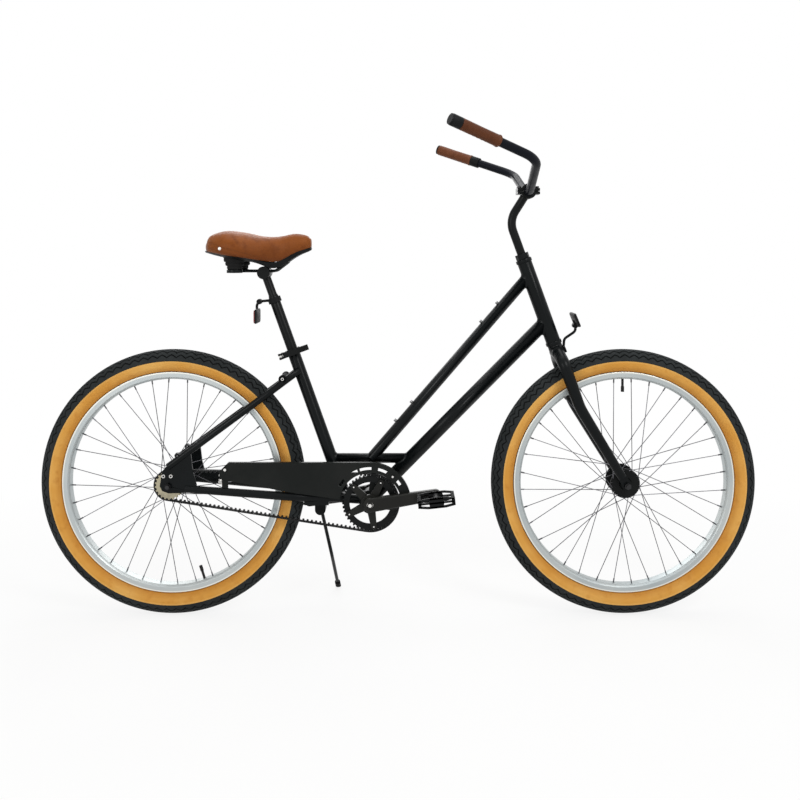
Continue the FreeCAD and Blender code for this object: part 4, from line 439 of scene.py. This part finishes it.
# The rim's last colour is the painted highlight on its lip
rim_alloy = rim_metal("rim_alloy", (0.50, 0.53, 0.525), (0.40, 0.44, 0.45), (0.78, 0.78, 0.72))
spoke_steel = metal("spoke_steel", (0.11, 0.11, 0.12), (0.05, 0.05, 0.055), 0.3, 0.45)
dark_steel = metal("dark_steel", (0.045, 0.045, 0.047), (0.02, 0.02, 0.021), 0.3, 0.45)
bright_steel = metal("bright_steel", (0.78, 0.77, 0.74), (0.5, 0.48, 0.45), 0.22, 0.4)
cog_alloy = metal("cog_alloy", (0.40, 0.365, 0.26), (0.1, 0.092, 0.07), 0.35, 0.5)
plastic_black = moulded("plastic_black", (0.007, 0.0074, 0.0078), (0.015, 0.0156, 0.0162), 0.42, 0.58)
# The saddle leather gets painted shade low down on its sides
saddle_leather = leather("saddle_leather", (0.255, 0.073, 0.0135), (0.12, 0.03, 0.0058),
                         (0.32, 0.102, 0.021), scale=520.0, shade=(0.92, 0.968))
grip_leather = leather("grip_leather", (0.14, 0.047, 0.02), (0.083, 0.026, 0.01), (0.19, 0.07, 0.031),
                       scale=700.0)
# Painted shade: a darker copy of the grip leather, for the right grip
shaded_grip_leather = leather("shaded_grip_leather", (0.095, 0.03, 0.0115), (0.057, 0.017, 0.006),
                            (0.13, 0.045, 0.018), scale=700.0)
seam_thread = rubber("seam_thread", (0.14, 0.045, 0.014), (0.22, 0.08, 0.026), 0.6, 0.8)
red_lens = lens("red_lens", (0.42, 0.02, 0.015), (0.2, 0.006, 0.006))
clear_lens = lens("clear_lens", (0.62, 0.63, 0.64), (0.42, 0.43, 0.45))

# Steel fasteners, with zones of place, radius in millimetres and colour: black heads, painted glints at bolt
# and screw centres, and painted socket shade
bright = (0.78, 0.77, 0.74)
black = (0.02, 0.02, 0.021)
screw_grey = (0.2, 0.2, 0.2)
head_reach = 6.0
ring_bolt_radius = 59.5
ring_bolt_glint = 1.7
crank_bolt_glint = 4.4
bracket = at(bracket_forward, 0, bracket_height)
bridge_screw = at(-297, 0, 614)
guard_screws = [(at(-441, 0, 386), 3.4), (at(-13.9, 0, 368.4), 2.4)]
ring_bolts = [bracket + at(ring_bolt_radius * math.cos(math.radians(angle)), 0,
                           ring_bolt_radius * math.sin(math.radians(angle)))
              for angle in range(-81, 279, 72)]
# Black round the axle, painted socket shade on two dropout bolts, and on the bridge screw a black head with a
# painted glint ring round painted socket shade
frame_zones = [(at(-wheel_reach, 0, wheel_height), 14.0, black), (at(-597, 0, 370), 2.5, black),
               (at(-578, 0, 370), 2.5, black), (bridge_screw, head_reach, black),
               (bridge_screw, 3.6, bright), (bridge_screw, 2.2, black)]
# Each guard screw: a black head with a painted glint at its centre
for place, core in guard_screws:
    frame_zones += [(place, head_reach, black), (place, core, bright)]
# Crank and ring bolts: black heads with painted glints at their centres
crank_zones = [(bracket, crank_bolt_glint, bright)] + [(place, ring_bolt_glint, bright) for place in ring_bolts]
frame_steel = fasteners("frame_steel", bright, frame_zones, screw_grey)
crank_steel = fasteners("crank_steel", black, crank_zones, screw_grey)

node_looks = {
    frame_paint: ["head_tube", "top_tube", "down_tube", "seat_tube", "cross_tube", "bottom_bracket_shell",
                  "chainstays", "seatstays", "dropouts", "headset_cups", "brake_arm", "kickstand_bracket",
                  "fork_steerer", "fork_blades", "headset_locknut", "kickstand_leg", "saddle_rails",
                  "bottom_bracket_cups"],
    alloy_black: ["saddle_clamp", "seat_collar", "quick_release_lever", "stem_clamp_cap", "belt_ring",
                  "front_hub", "rear_hub", "handlebar_stem", "seatpost"],
    crank_black: ["right_crank", "left_crank"],
    crank_steel: ["crank_bolts"],
    bar_black: ["handlebar"],
    guard_black: ["belt_guard"],
    tube_rubber: ["front_inner_tube", "rear_inner_tube"],
    rim_alloy: ["front_rim", "rear_rim"],
    spoke_steel: ["front_spokes", "rear_spokes"],
    frame_steel: ["frame_fasteners"],
    dark_steel: ["rear_axle", "front_axle", "stem_bolts"],
    bright_steel: ["crank_spindle", "pedal_axles"],
    cog_alloy: ["rear_cog"],
    belt_rubber: ["drive_belt"],
    plastic_black: ["right_pedal", "left_pedal", "saddle_base", "grip_collars", "front_reflector_bracket",
                    "rear_reflector_bracket"],
    foot_rubber: ["saddle_bumpers", "kickstand_foot"],
    saddle_leather: ["saddle_cushion"],
    grip_leather: ["grips"],
    tread_rubber: ["front_tyre", "rear_tyre"],
    red_lens: ["rear_reflector"],
    clear_lens: ["front_reflector"],
}

# Edges of the bevelled nodes, in millimetres
edge_rounding = {"dropouts": 0.8, "right_crank": 1.0, "left_crank": 1.0, "belt_guard": 0.5,
                 "stem_clamp_cap": 1.0, "handlebar_stem": 0.8, "seat_collar": 0.8,
                 "quick_release_lever": 0.8, "kickstand_bracket": 1.0, "brake_arm": 0.4, "belt_ring": 0.3,
                 "front_hub": 0.8, "rear_hub": 0.8, "headset_cups": 0.8, "headset_locknut": 0.6,
                 "frame_fasteners": 0.4, "crank_bolts": 0.4, "stem_bolts": 0.5, "grip_collars": 1.2,
                 "saddle_clamp": 1.2, "saddle_base": 1.0, "front_rim": 0.5, "rear_rim": 0.5,
                 "kickstand_foot": 1.5, "rear_cog": 0.3, "saddle_rails": 0.6,
                 "front_axle": 0.4, "rear_axle": 0.4, "drive_belt": 0.2}
for material, names in node_looks.items():
    for name in names:
        node = nodes[name]
        node.data.materials.clear()
        node.data.materials.append(material)
        joined = node.modifiers.new("joined", "WELD")
        joined.merge_threshold = MM / 1000
        if name in edge_rounding:
            rounded_edges(node, edge_rounding[name])


side_signs = {"left": 1, "right": -1}

# Tyres
tyre_centres = {"front": at(wheel_reach, 0, wheel_height), "rear": at(-wheel_reach, 0, wheel_height)}
tread_waves = 84
wave_steps = 8
section_middle = 313.0
section_radius = 31.0
surface_inset = 0.75
casing_depth = 3.4
casing_angles = (-138, -100, -50, 0, 50, 100, 138)
tread_edge = 86.3
bead_edge = 151.0
crown_edge = 4.0
groove_angles = (60.0, 34.0, 10.0)
groove_half = 3.2
groove_wall = 1.0
groove_depth = 2.4
rib_width = 18.0
rib_end = 5.0
zigzag_reach = 8.0
sipe_depth = 1.1
sipe_steps = (0, wave_steps // 2)
tread_mark, wall_mark, groove_mark = range(3)

# Rows of the tan wall and of the black shoulder: angle, zigzag share and depth
wall_rows = [(bead_edge, 0, 0), (146, 0, 0), (143.5, 0, -0.5), (141.5, 0, -0.5), (139, 0, 0), (130, 0, 0),
             (120, 0, 0), (110, 0, 0), (100, 0, 0), (93, 0, 0), (tread_edge + 1, 0, 0)]
shoulder_rows = [(tread_edge, 0, -0.7), (84, 0, -0.7), (80, 0, -0.2), (74, 0.4, 0)]


def tread_rows():
    """Rows across the tyre from one bead to the other: angle, zigzag share, depth and material number."""
    half = [(*row, wall_mark) for row in wall_rows] + [(*row, tread_mark) for row in shoulder_rows]
    for middle in groove_angles:
        outer = middle + groove_half
        inner = middle - groove_half
        half += [(outer + groove_wall, 1, 0, tread_mark), (outer, 1, groove_depth, groove_mark),
                 (inner, 1, groove_depth, groove_mark), (inner - groove_wall, 1, 0, tread_mark),
                 ((inner + max(inner - rib_width, rib_end)) / 2, 1, 0, tread_mark)]
    half[-1] = (crown_edge, 1, 0, tread_mark)
    return half + [(-angle, *rest) for angle, *rest in half[::-1]]


def zigzag(step):
    """A triangle wave between -1 and 1."""
    share = step % wave_steps / wave_steps
    return 4 * abs(share - 0.5) - 1


def tyre_point(centre, size, angle, turn):
    """A place on a tyre's section of the given radius, at an angle from its crown."""
    lean = math.radians(angle)
    radius = section_middle + size * math.cos(lean)
    return centre + Vector((size * math.sin(lean), radius * math.cos(turn), radius * math.sin(turn))) * MM


def tyre(name, centre):
    """A balloon tyre: tan walls with moulding rings, and a black tread cut by zigzag grooves and sipes, with
    painted shade in the grooves.
    """
    count = tread_waves * wave_steps
    turns = [2 * math.pi * step / count for step in range(count)]
    table = tread_rows()
    rows = []
    for angle, share, depth, _ in table:
        crossed = share == 1 and depth == 0 and groove_angles[1] < abs(angle)
        row = []
        for step, turn in enumerate(turns):
            lowered = sipe_depth if crossed and step % wave_steps in sipe_steps else depth
            shifted = angle + share * zigzag_reach * zigzag(step)
            row.append(tyre_point(centre, section_radius - lowered - surface_inset, shifted, turn))
        rows.append(row)
    for angle in casing_angles:
        rows.append([tyre_point(centre, section_radius - casing_depth, angle, turn) for turn in turns])
    marks = [number for *_, number in table] + [wall_mark] * len(casing_angles)

    def mark(row):
        here = marks[row]
        return here if here == marks[(row + 1) % len(marks)] else tread_mark

    shape = Shape()
    shape.grid(rows, round_rows=True, mark=mark)
    looks = [tread_rubber, tan_wall, groove_shade_rubber]
    piece = shape.build(name + "_tread", name + "_wheel", looks, smooth=50)
    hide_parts(name + "_tyre")


for side, centre in tyre_centres.items():
    tyre(side, centre)


# Saddle: sections with their place, half width, underside and top, and the shares of one outline
saddle_table = [(-491.5, 46, 943.5, 968), (-480, 76, 940.7, 984.5), (-442, 102, 933, 995),
                (-398.8, 105, 927, 991), (-350.2, 81, 918.9, 981.2), (-309.7, 51.5, 916, 980.4),
                (-269.2, 35.7, 936.7, 987.7), (-239.5, 28.4, 948, 983.7), (-229.5, 19.5, 951, 976)]
saddle_outline = [(-0.80, 0.0), (-0.9, 0.015), (-0.97, 0.12), (-1.0, 0.34), (-0.945, 0.62), (-0.76, 0.86),
                  (-0.42, 0.975), (0.0, 1.0)]
saddle_seam = [(-346, 922), (-375, 931), (-410, 941), (-447, 950), (-476, 960), (-497, 964)]
rear_rounding = ((0.45, 4.6), (0.75, 3.6), (0.92, 1.9))
nose_rounding = ((0.93, 1.6), (0.74, 3.0), (0.42, 3.9))
saddle_steps = 10
outline_steps = 6
seam_steps = 40
seam_depth = 1.6
seam_width = 3.2
stitch_gap = 6.0
stitch_share = 0.6
stitch_rise = 4.0
stitch_sink = 0.2
stitch_radius = 0.55
tip_reach = 0.6
tip_taper = 0.45
rivet_place = (-447, 949)
rivet_profile = [(-2.0, 4.6), (0.6, 4.6), (1.6, 4.0), (2.3, 2.6), (2.6, 0.4)]


def saddle_section(row):
    """The points of one section, from its underside on one side over the top to the other."""
    forward, half, low, high = row
    left = [Vector((across * half, low + share * (high - low), 0)) for across, share in saddle_outline]
    right = [Vector((-place.x, place.y, 0)) for place in left[-2::-1]]
    return [(forward, place.x, place.y) for place in smooth_line(left + right, outline_steps)]


def seam_distance(forward, up):
    """How far a place is from the side seam, seen from the side."""
    place = Vector((forward, up))
    best = math.inf
    for first, last in zip(saddle_seam, saddle_seam[1:]):
        start = Vector(first)
        step = Vector(last) - start
        share = min(max((place - start).dot(step) / step.length_squared, 0), 1)
        best = min(best, (place - start - step * share).length)
    return best


def saddle():
    """A padded saddle cover, crowned, with drawn-in sides, rounded ends and a sewn seam on each side."""
    sections = []
    for row in smooth_line([Vector(row) for row in saddle_table], saddle_steps):
        section = []
        for forward, left, up in saddle_section(row):
            pull = seam_depth * math.exp(-(seam_distance(forward, up) / seam_width) ** 2)
            inwards = pull if abs(left) > row[1] / 2 else 0
            section.append((forward, left - math.copysign(inwards, left), up))
        sections.append(section)

    def shrunk(section, share, forward):
        middle = sum(up for _, _, up in section) / len(section)
        return [(forward, left * share, middle + (up - middle) * share) for _, left, up in section]

    rear = [shrunk(sections[0], share, saddle_table[0][0] - reach) for share, reach in rear_rounding]
    nose = [shrunk(sections[-1], share, saddle_table[-1][0] + reach) for share, reach in nose_rounding]
    shape = Shape()
    shape.tube([[at(*place) for place in section] for section in rear + sections + nose])
    piece = shape.build("saddle_cover", "seat", [saddle_leather], smooth=60)
    soften = piece.modifiers.new("soften", "SUBSURF")
    soften.levels = soften.render_levels = 1
    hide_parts("saddle_cushion")
    return sections


def saddle_side(sections, forward, up):
    """The saddle's half width at a forward place and height."""
    nearest = min(sections, key=lambda section: abs(section[0][0] - forward))
    sides = [(abs(place[2] - up), place[1]) for place in nearest if place[1] > 0]
    return min(sides)[1]


def capsule(start, end, radius, sides=8):
    """A short rounded bar, with its radius in millimetres."""
    tip = (end - start).normalized() * radius * MM * tip_reach
    radii = [size * radius * MM for size in (tip_taper, 1, 1, tip_taper)]
    return sweep([start - tip, start, end, end + tip], radii, sides)


def saddle_stitches(sections):
    """Thread along both side seams."""
    thread = Shape()
    line = smooth_line([Vector((forward, up, 0)) for forward, up in saddle_seam], seam_steps)
    travelled = 0.0
    for first, last in zip(line, line[1:]):
        travelled += (last - first).length
        if travelled < stitch_gap:
            continue
        travelled = 0.0
        stitch = (last - first).normalized() * stitch_gap * stitch_share
        for sign in side_signs.values():
            ends = []
            for place in (first, first + stitch):
                up = place.y + stitch_rise
                side = saddle_side(sections, place.x, up) - stitch_sink
                ends.append(at(place.x, sign * side, up))
            thread.tube(capsule(*ends, stitch_radius))
    thread.build("saddle_stitches", "seat", [seam_thread])


def saddle_rivets(sections):
    """A rivet at each rear corner."""
    rivets = Shape()
    forward, up = rivet_place
    for sign in side_signs.values():
        centre = at(forward, sign * saddle_side(sections, forward, up), up)
        rivets.tube(lathe(rivet_profile, centre, Vector((sign, 0, 0)), sides=24))
    rivets.build("saddle_rivets", "seat", [bright_steel])


saddle_sections = saddle()
saddle_stitches(saddle_sections)
saddle_rivets(saddle_sections)


# Grips
bar_corner = at(330, 235, 1160)
bar_end = at(121, 335, 1241)
grip_length = 108.0
grip_starts = {"left": 0.0, "right": 25.15}
grip_profile = [(0.0, 11.4), (0.0, 13.0), (0.7, 13.8), (2.2, 14.35), (4.5, 14.5), (7.0, 14.15), (12.0, 14.3),
                (54.0, 13.9), (96.0, 14.3), (101.0, 14.15), (102.6, 15.1), (104.6, 15.4), (106.4, 15.1),
                (107.6, 14.4), (grip_length, 13.4), (grip_length, 11.4)]
grip_stitches = 17
grip_margin = 8.0
grip_seam_radius = 14.0
grip_stitch_half = 2.6
grip_stitch_lean = 2.2
grip_thread = 0.5


def mirrored(place, sign):
    """A place of the left side, or its image on the right."""
    return Vector((sign * place.x, place.y, place.z))


def grips():
    """Leather sleeves with rolled ends and a stitched seam underneath; the right one has painted shade, as a
    darker copy of the leather.
    """
    cover = Shape()
    thread = Shape()
    for number, (side, start) in enumerate(grip_starts.items()):
        end = mirrored(bar_end, side_signs[side])
        inwards = (mirrored(bar_corner, side_signs[side]) - end).normalized()
        centre = end + inwards * start * MM
        cover.grid(lathe(grip_profile, centre, inwards, sides=48), round_rows=True, mark=number)
        down = (Vector((0, 0, -1)) + inwards * inwards.z).normalized()
        across = inwards.cross(down)
        gap = (grip_length - 2 * grip_margin) / (grip_stitches - 1)
        for stitch in range(grip_stitches):
            place = centre + (inwards * (grip_margin + stitch * gap) + down * grip_seam_radius) * MM
            lean = grip_stitch_lean if stitch % 2 else -grip_stitch_lean
            reach = (across * grip_stitch_half + inwards * lean) * MM
            thread.tube(capsule(place - reach, place + reach, grip_thread, sides=6))
    looks = [grip_leather, shaded_grip_leather]
    piece = cover.build("grip_covers", "steering", looks, smooth=60)
    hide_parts("grips")
    thread.build("grip_stitches", "steering", [seam_thread])


grips()


# Smoothed welds: axes and radii of the tubes, in metres and millimetres
head_top = at(329.5, 0, 913)
head_down = Vector((0, -0.34202, -0.93969))
seat_top = at(-276.3, 0, 688)
seat_down = Vector((0, -0.33874, -0.94088))
left_side = Vector((1, 0, 0))
forwards = Vector((0, -1, 0))
top_foot = at(-69.7, 0, 403)
top_head = head_top + head_down * 35.1 * MM
down_head = head_top + head_down * 163.3 * MM
head_radius = 19.0
top_radius = 14.3
down_radius = 17.5
seat_radius = 15.9
cross_radius = 12.7
shell_radius = 21.0
wide_weld = 7.0
narrow_weld = 6.0
weld_sides = 56
weld_steps = 6
weld_ripples = 9
ripple_share = 0.05
weld_sink = 0.25
weld_root = 1.2
least_slide = 0.15


def crossing(place, along, big_place, big_along, big_radius):
    """The last place where a line leaves a round tube."""
    start = place - big_place
    flat = along - big_along * along.dot(big_along)
    shift = start - big_along * start.dot(big_along)
    a = flat.length_squared
    b = 2 * flat.dot(shift)
    c = shift.length_squared - big_radius ** 2
    return place + along * ((-b + math.sqrt(b * b - 4 * a * c)) / (2 * a))


def weld(shape, joint, along, radius, big_place, big_along, big_radius, width):
    """A concave fillet round the end of one tube where it meets another."""
    across = along.orthogonal().normalized()
    upward = along.cross(across)
    rows = []
    for side in range(weld_sides):
        angle = 2 * math.pi * side / weld_sides
        out = across * math.cos(angle) + upward * math.sin(angle)
        corner = crossing(joint + out * radius, along, big_place, big_along, big_radius)
        rest = corner - big_place
        normal = (rest - big_along * rest.dot(big_along)).normalized()
        slide = out - normal * out.dot(normal)
        if slide.length < least_slide:
            slide = out
        reach = width * (1 + ripple_share * math.sin(angle * weld_ripples))
        first = corner + along * reach - out * weld_sink * MM
        rest = corner + slide.normalized() * reach - big_place
        foot = big_along * rest.dot(big_along)
        last = big_place + foot + (rest - foot).normalized() * (big_radius - weld_sink * MM)
        shares = [step / weld_steps for step in range(weld_steps + 1)]
        row = [first * (1 - t) ** 2 + corner * 2 * t * (1 - t) + last * t ** 2 for t in shares]
        rows.append(row + [corner - (out + normal) * weld_root * MM])
    shape.grid(rows, round_rows=True)


def welds():
    """Every fillet of the main frame."""
    to_head = (top_head - top_foot).normalized()
    up_down = (down_head - bracket).normalized()
    cross_rear = seat_top + seat_down * ((top_foot.z - seat_top.z) / seat_down.z)
    cross_front = bracket + up_down * ((top_foot.z - bracket.z) / up_down.z)
    shape = Shape()
    for joint, along, radius, big_place, big_along, big_radius, width in (
            (top_head, -to_head, top_radius, head_top, head_down, head_radius, wide_weld),
            (down_head, -up_down, down_radius, head_top, head_down, head_radius, wide_weld),
            (bracket, up_down, down_radius, bracket, left_side, shell_radius, narrow_weld),
            (cross_rear, forwards, cross_radius, seat_top, seat_down, seat_radius, narrow_weld),
            (cross_front, -forwards, cross_radius, bracket, up_down, down_radius, narrow_weld)):
        weld(shape, joint, along, radius * MM, big_place, big_along, big_radius * MM, width * MM)
    shape.build("frame_welds", "frame", [frame_paint], smooth=70)


welds()


# Reflectors
reflector_width = 75.0
reflector_height = 37.0
reflector_corner = 6.0
corner_steps = 6
corner_signs = ((1, 1), (-1, 1), (-1, -1), (1, -1))
lens_margin = 6.0
facet_size = 4.0
facet_foot = -1.2
facet_rim = -0.8
facet_tip = 0.1
facet_share = 0.96


def reflector(name, body, node, centre, facing, upward, depth, rise, looks):
    """A rounded housing with a lens of small pyramids in its face, which may stand proud of it."""
    right = upward.cross(facing)
    half = depth / 2
    face = half - rise
    straight_x = reflector_width / 2 - reflector_corner
    straight_y = reflector_height / 2 - reflector_corner
    outline = []
    for quarter, (sign_x, sign_y) in enumerate(corner_signs):
        for step in range(corner_steps + 1):
            angle = math.radians(90 * (quarter + step / corner_steps))
            outline.append((sign_x * straight_x + reflector_corner * math.cos(angle),
                            sign_y * straight_y + reflector_corner * math.sin(angle)))

    def place(x, y, lift):
        return centre + (right * x + upward * y + facing * lift) * MM

    def loop(inset, lift):
        share_x = 1 - 2 * inset / reflector_width
        share_y = 1 - 2 * inset / reflector_height
        return [place(x * share_x, y * share_y, lift) for x, y in outline]

    # Rings of the housing and of a raised lens: inset from the outline, and height
    shape = Shape()
    shape.tube([loop(2.5, -half), loop(0.6, 1 - half), loop(0, face - 1.2), loop(0.8, face), loop(2.2, face),
                loop(2.6, face - 1)])
    if rise:
        shape.tube([loop(1.6, face - 1), loop(1.6, half - 1.4), loop(2.6, half - 0.9)], mark=1)
    lens_width = reflector_width - lens_margin
    lens_height = reflector_height - lens_margin
    columns = round(lens_width / facet_size)
    lines = round(lens_height / facet_size)
    half_x = lens_width / columns / 2
    half_y = lens_height / lines / 2
    for column in range(columns):
        for line in range(lines):
            x = (2 * column + 1) * half_x - lens_width / 2
            y = (2 * line + 1) * half_y - lens_height / 2
            if abs(x) > straight_x and abs(y) > straight_y:
                continue
            base = [(x - half_x, y - half_y), (x + half_x, y - half_y), (x + half_x, y + half_y),
                    (x - half_x, y + half_y)]
            foot = [place(*corner, half + facet_foot) for corner in base]
            rim = [place(*corner, half + facet_rim) for corner in base]
            tip = place(x, y, half + facet_tip)
            shape.tube([foot, rim, [corner.lerp(tip, facet_share) for corner in rim]], mark=1)
    piece = shape.build(name, body, looks, smooth=30)
    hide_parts(node)


lean = math.radians(22)
front_facing = Vector((0, -math.cos(lean), math.sin(lean)))
front_up = Vector((0, math.sin(lean), math.cos(lean)))
reflector("front_reflector_lens", "steering", "front_reflector", at(461, 0, 764), front_facing, front_up,
          depth=6.5, rise=0, looks=[plastic_black, clear_lens])
reflector("rear_reflector_lens", "seat", "rear_reflector", at(-368.5, 0, 773.5), -forwards,
          Vector((0, 0, 1)), depth=9, rise=3.4, looks=[plastic_black, red_lens])


# Pedals: outlines of length and height from the axle, and places along it
pedal_places = {"right": (94.777, 325.281), "left": (-237.089, 272.719)}
pedal_tilt = math.radians(6)
pedal_walls = ((86, 92), (146, 152))
pedal_crown = [(-46, 9.2), (-22, 13), (22, 13), (46, 9.2)]
rail_height = 5.0
pedal_rail = pedal_crown + [(along, rise - rail_height) for along, rise in pedal_crown[::-1]]
pedal_bar = [(-46, 2.2), (46, 2.2), (46, -2.2), (-46, -2.2)]
pedal_middle = [(-16, 13), (16, 13), (19, 0), (16, -13), (-16, -13), (-19, 0)]
pedal_end = [(46, 9.2), (46, -9.2), (37.5, -10.5), (37.5, 10.5)]
pedal_rib = [(9, 2.5), (42, 2.5), (42, -2.5), (9, -2.5)]
rib_span = (116.5, 121.5)
pedal_tread = [(39, 5.4), (46, 5.4), (46, 9.0), (39, 9.7)]
tread_span = (91, 147)
tread_ridge = [(40, 9.2), (45.5, 8.8), (45, 10.3), (40.6, 10.8)]
ridge_count = 7
ridge_start = 94
ridge_pitch = 7.4
ridge_width = 4.2
pedal_boss = [(86.2, 9.2), (87, 10), (101, 10), (105, 8.6), (133, 8.6), (137, 10), (151, 10), (151.8, 9.2)]
pedal_rounding = 0.6


def pedal(side):
    """An open cage: walls with windows, toothed treads at front and back, and a middle boss."""
    sign = side_signs[side]
    forward, up = pedal_places[side]
    cosine = math.cos(pedal_tilt)
    sine = math.sin(pedal_tilt)
    shape = Shape()

    def plate(outline, inner, outer, end=1, level=1):
        turned = [(forward + end * along * cosine - level * rise * sine,
                   up + end * along * sine + level * rise * cosine) for along, rise in outline]
        shape.tube([[at(x, sign * left, z) for x, z in turned] for left in (inner, outer)])

    for wall in pedal_walls:
        plate(pedal_bar, *wall)
        plate(pedal_middle, *wall)
        for flip in (1, -1):
            plate(pedal_rail, *wall, level=flip)
            plate(pedal_end, *wall, end=flip)
    for end in (1, -1):
        plate(pedal_rib, *rib_span, end)
        for level in (1, -1):
            plate(pedal_tread, *tread_span, end, level)
            for ridge in range(ridge_count):
                start = ridge_start + ridge * ridge_pitch
                plate(tread_ridge, start, start + ridge_width, end, level)
    shape.tube(lathe(pedal_boss, at(forward, 0, up), Vector((sign, 0, 0)), sides=32))
    piece = shape.build(side + "_pedal_cage", "pedal_" + side, [plastic_black], smooth=30)
    rounded_edges(piece, pedal_rounding)
    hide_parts(side + "_pedal")


for side in pedal_places:
    pedal(side)


# Saddle springs
spring_profile = [(0, 14), (0.2, 17), (2, 18.6), (6, 19.6), (8, 18.8), (9.2, 19.2), (11.5, 23), (16, 24),
                  (18, 23), (19.2, 23.4), (21.5, 27), (26, 28), (28, 27), (29.2, 27.4), (31.5, 29),
                  (33, 29.4)]
spring_left = 50.0


def saddle_springs():
    """Two rubber springs under the saddle, with rounded rings."""
    shape = Shape()
    for sign in side_signs.values():
        foot = at(-418, sign * spring_left, 894.9)
        shape.tube(lathe(spring_profile, foot, Vector((0, 0, 1)), sides=48))
    piece = shape.build("saddle_springs", "seat", [foot_rubber], smooth=50)
    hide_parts("saddle_bumpers")


saddle_springs()


# Seatstay bridge
bridge_profile = [(-41.0, 6.5), (-41.0, 9.2), (-40.2, 10.2), (-32.5, 10.2), (-31.5, 8.7), (31.5, 8.7),
                  (32.5, 10.2), (40.2, 10.2), (41.0, 9.2), (41.0, 6.5)]


def bridge_bosses():
    """A matt black sleeve round the bridge, with a boss under the screw at each end."""
    shape = Shape()
    shape.tube(lathe(bridge_profile, bridge_screw, left_side, sides=40))
    shape.build("bridge_bosses", "frame", [bracket_black])


bridge_bosses()


# Floor, light and camera
floor_size = 60.0
floor_grey = (0.92, 0.92, 0.91)
floor_shade = (0.9, 0.9, 0.89)
shadow_bounds = (0.9, 1.9)
shadow_white = 0.84
room_light = 0.38


def direct_ray(tree):
    """One for rays from the camera, off gloss or through glass, and nought for the rest."""
    path = tree.nodes.new("ShaderNodeLightPath")
    result = path.outputs["Is Camera Ray"]
    for kind in ("Is Glossy Ray", "Is Transmission Ray"):
        either = tree.nodes.new("ShaderNodeMath")
        either.operation = "MAXIMUM"
        tree.links.new(result, either.inputs[0])
        tree.links.new(path.outputs[kind], either.inputs[1])
        result = either.outputs[0]
    return result


def floor():
    """A pale floor that turns white away from the bicycle."""
    bpy.ops.mesh.primitive_plane_add(size=floor_size, location=(0, 0, 0))
    plane = bpy.context.object
    plane.name = "floor"
    look = Look("floor", floor_grey, roughness=0.8, specular=0.1)
    look.tint(look.noise(scale=3.0), floor_shade)
    white = look.node("ShaderNodeEmission", Strength=1.0)
    mix = look.node("ShaderNodeMixShader")
    share = look.node("ShaderNodeMath", operation="MULTIPLY")
    apart = look.measure("DISTANCE", look.place, (0, 0, 0))
    look.join(direct_ray(look.tree), share.inputs[0])
    look.join(look.ramp(apart, *shadow_bounds, shadow_white, 1.0), share.inputs[1])
    look.join(share.outputs[0], mix.inputs[0])
    look.join(look.shader.outputs[0], mix.inputs[1])
    look.join(white.outputs[0], mix.inputs[2])
    look.join(mix.outputs[0], look.tree.nodes["Material Output"].inputs["Surface"])
    plane.data.materials.append(look.material)


def surroundings():
    """White to the camera and in reflections, and dimmer as a light."""
    world = bpy.data.worlds.new("surroundings")
    bpy.context.scene.world = world
    world.use_nodes = True
    tree = world.node_tree
    back = tree.nodes["Background"]
    back.inputs["Color"].default_value = (1, 1, 1, 1)
    strength = tree.nodes.new("ShaderNodeMapRange")
    strength.inputs["To Min"].default_value = room_light
    strength.inputs["To Max"].default_value = 1.0
    tree.links.new(direct_ray(tree), strength.inputs["Value"])
    tree.links.new(strength.outputs["Result"], back.inputs["Strength"])


def lamp(name, place, target, size, power):
    """A square soft lamp that looks at a place."""
    light = bpy.data.lights.new(name, "AREA")
    light.size = size
    light.energy = power
    holder = bpy.data.objects.new(name, light)
    holder.location = place
    holder.rotation_euler = (Vector(target) - Vector(place)).to_track_quat("-Z", "Y").to_euler()
    bpy.context.scene.collection.objects.link(holder)


def camera():
    """The photograph's viewpoint, on the drive side."""
    data = bpy.data.cameras.new("camera")
    data.lens = 43.13
    data.sensor_width = 36.0
    data.shift_y = -0.1875
    holder = bpy.data.objects.new("camera", data)
    holder.location = (-2.5, -0.0048, 0.9455)
    holder.rotation_euler = (math.radians(90), 0, math.radians(-90))
    bpy.context.scene.collection.objects.link(holder)
    bpy.context.scene.camera = holder


floor()
surroundings()
lamp("key", (-2.2, -1.6, 2.6), (0, 0, 0.5), size=1.1, power=42)
lamp("fill", (-2.6, 1.9, 1.4), (0, 0, 0.5), size=1.0, power=22)
lamp("top", (0.4, 0.0, 3.0), (0, 0, 0.4), size=2.2, power=30)
lamp("far", (2.6, 0.4, 1.8), (0, 0, 0.5), size=2.2, power=26)
camera()
bpy.context.scene.view_settings.view_transform = "Standard"
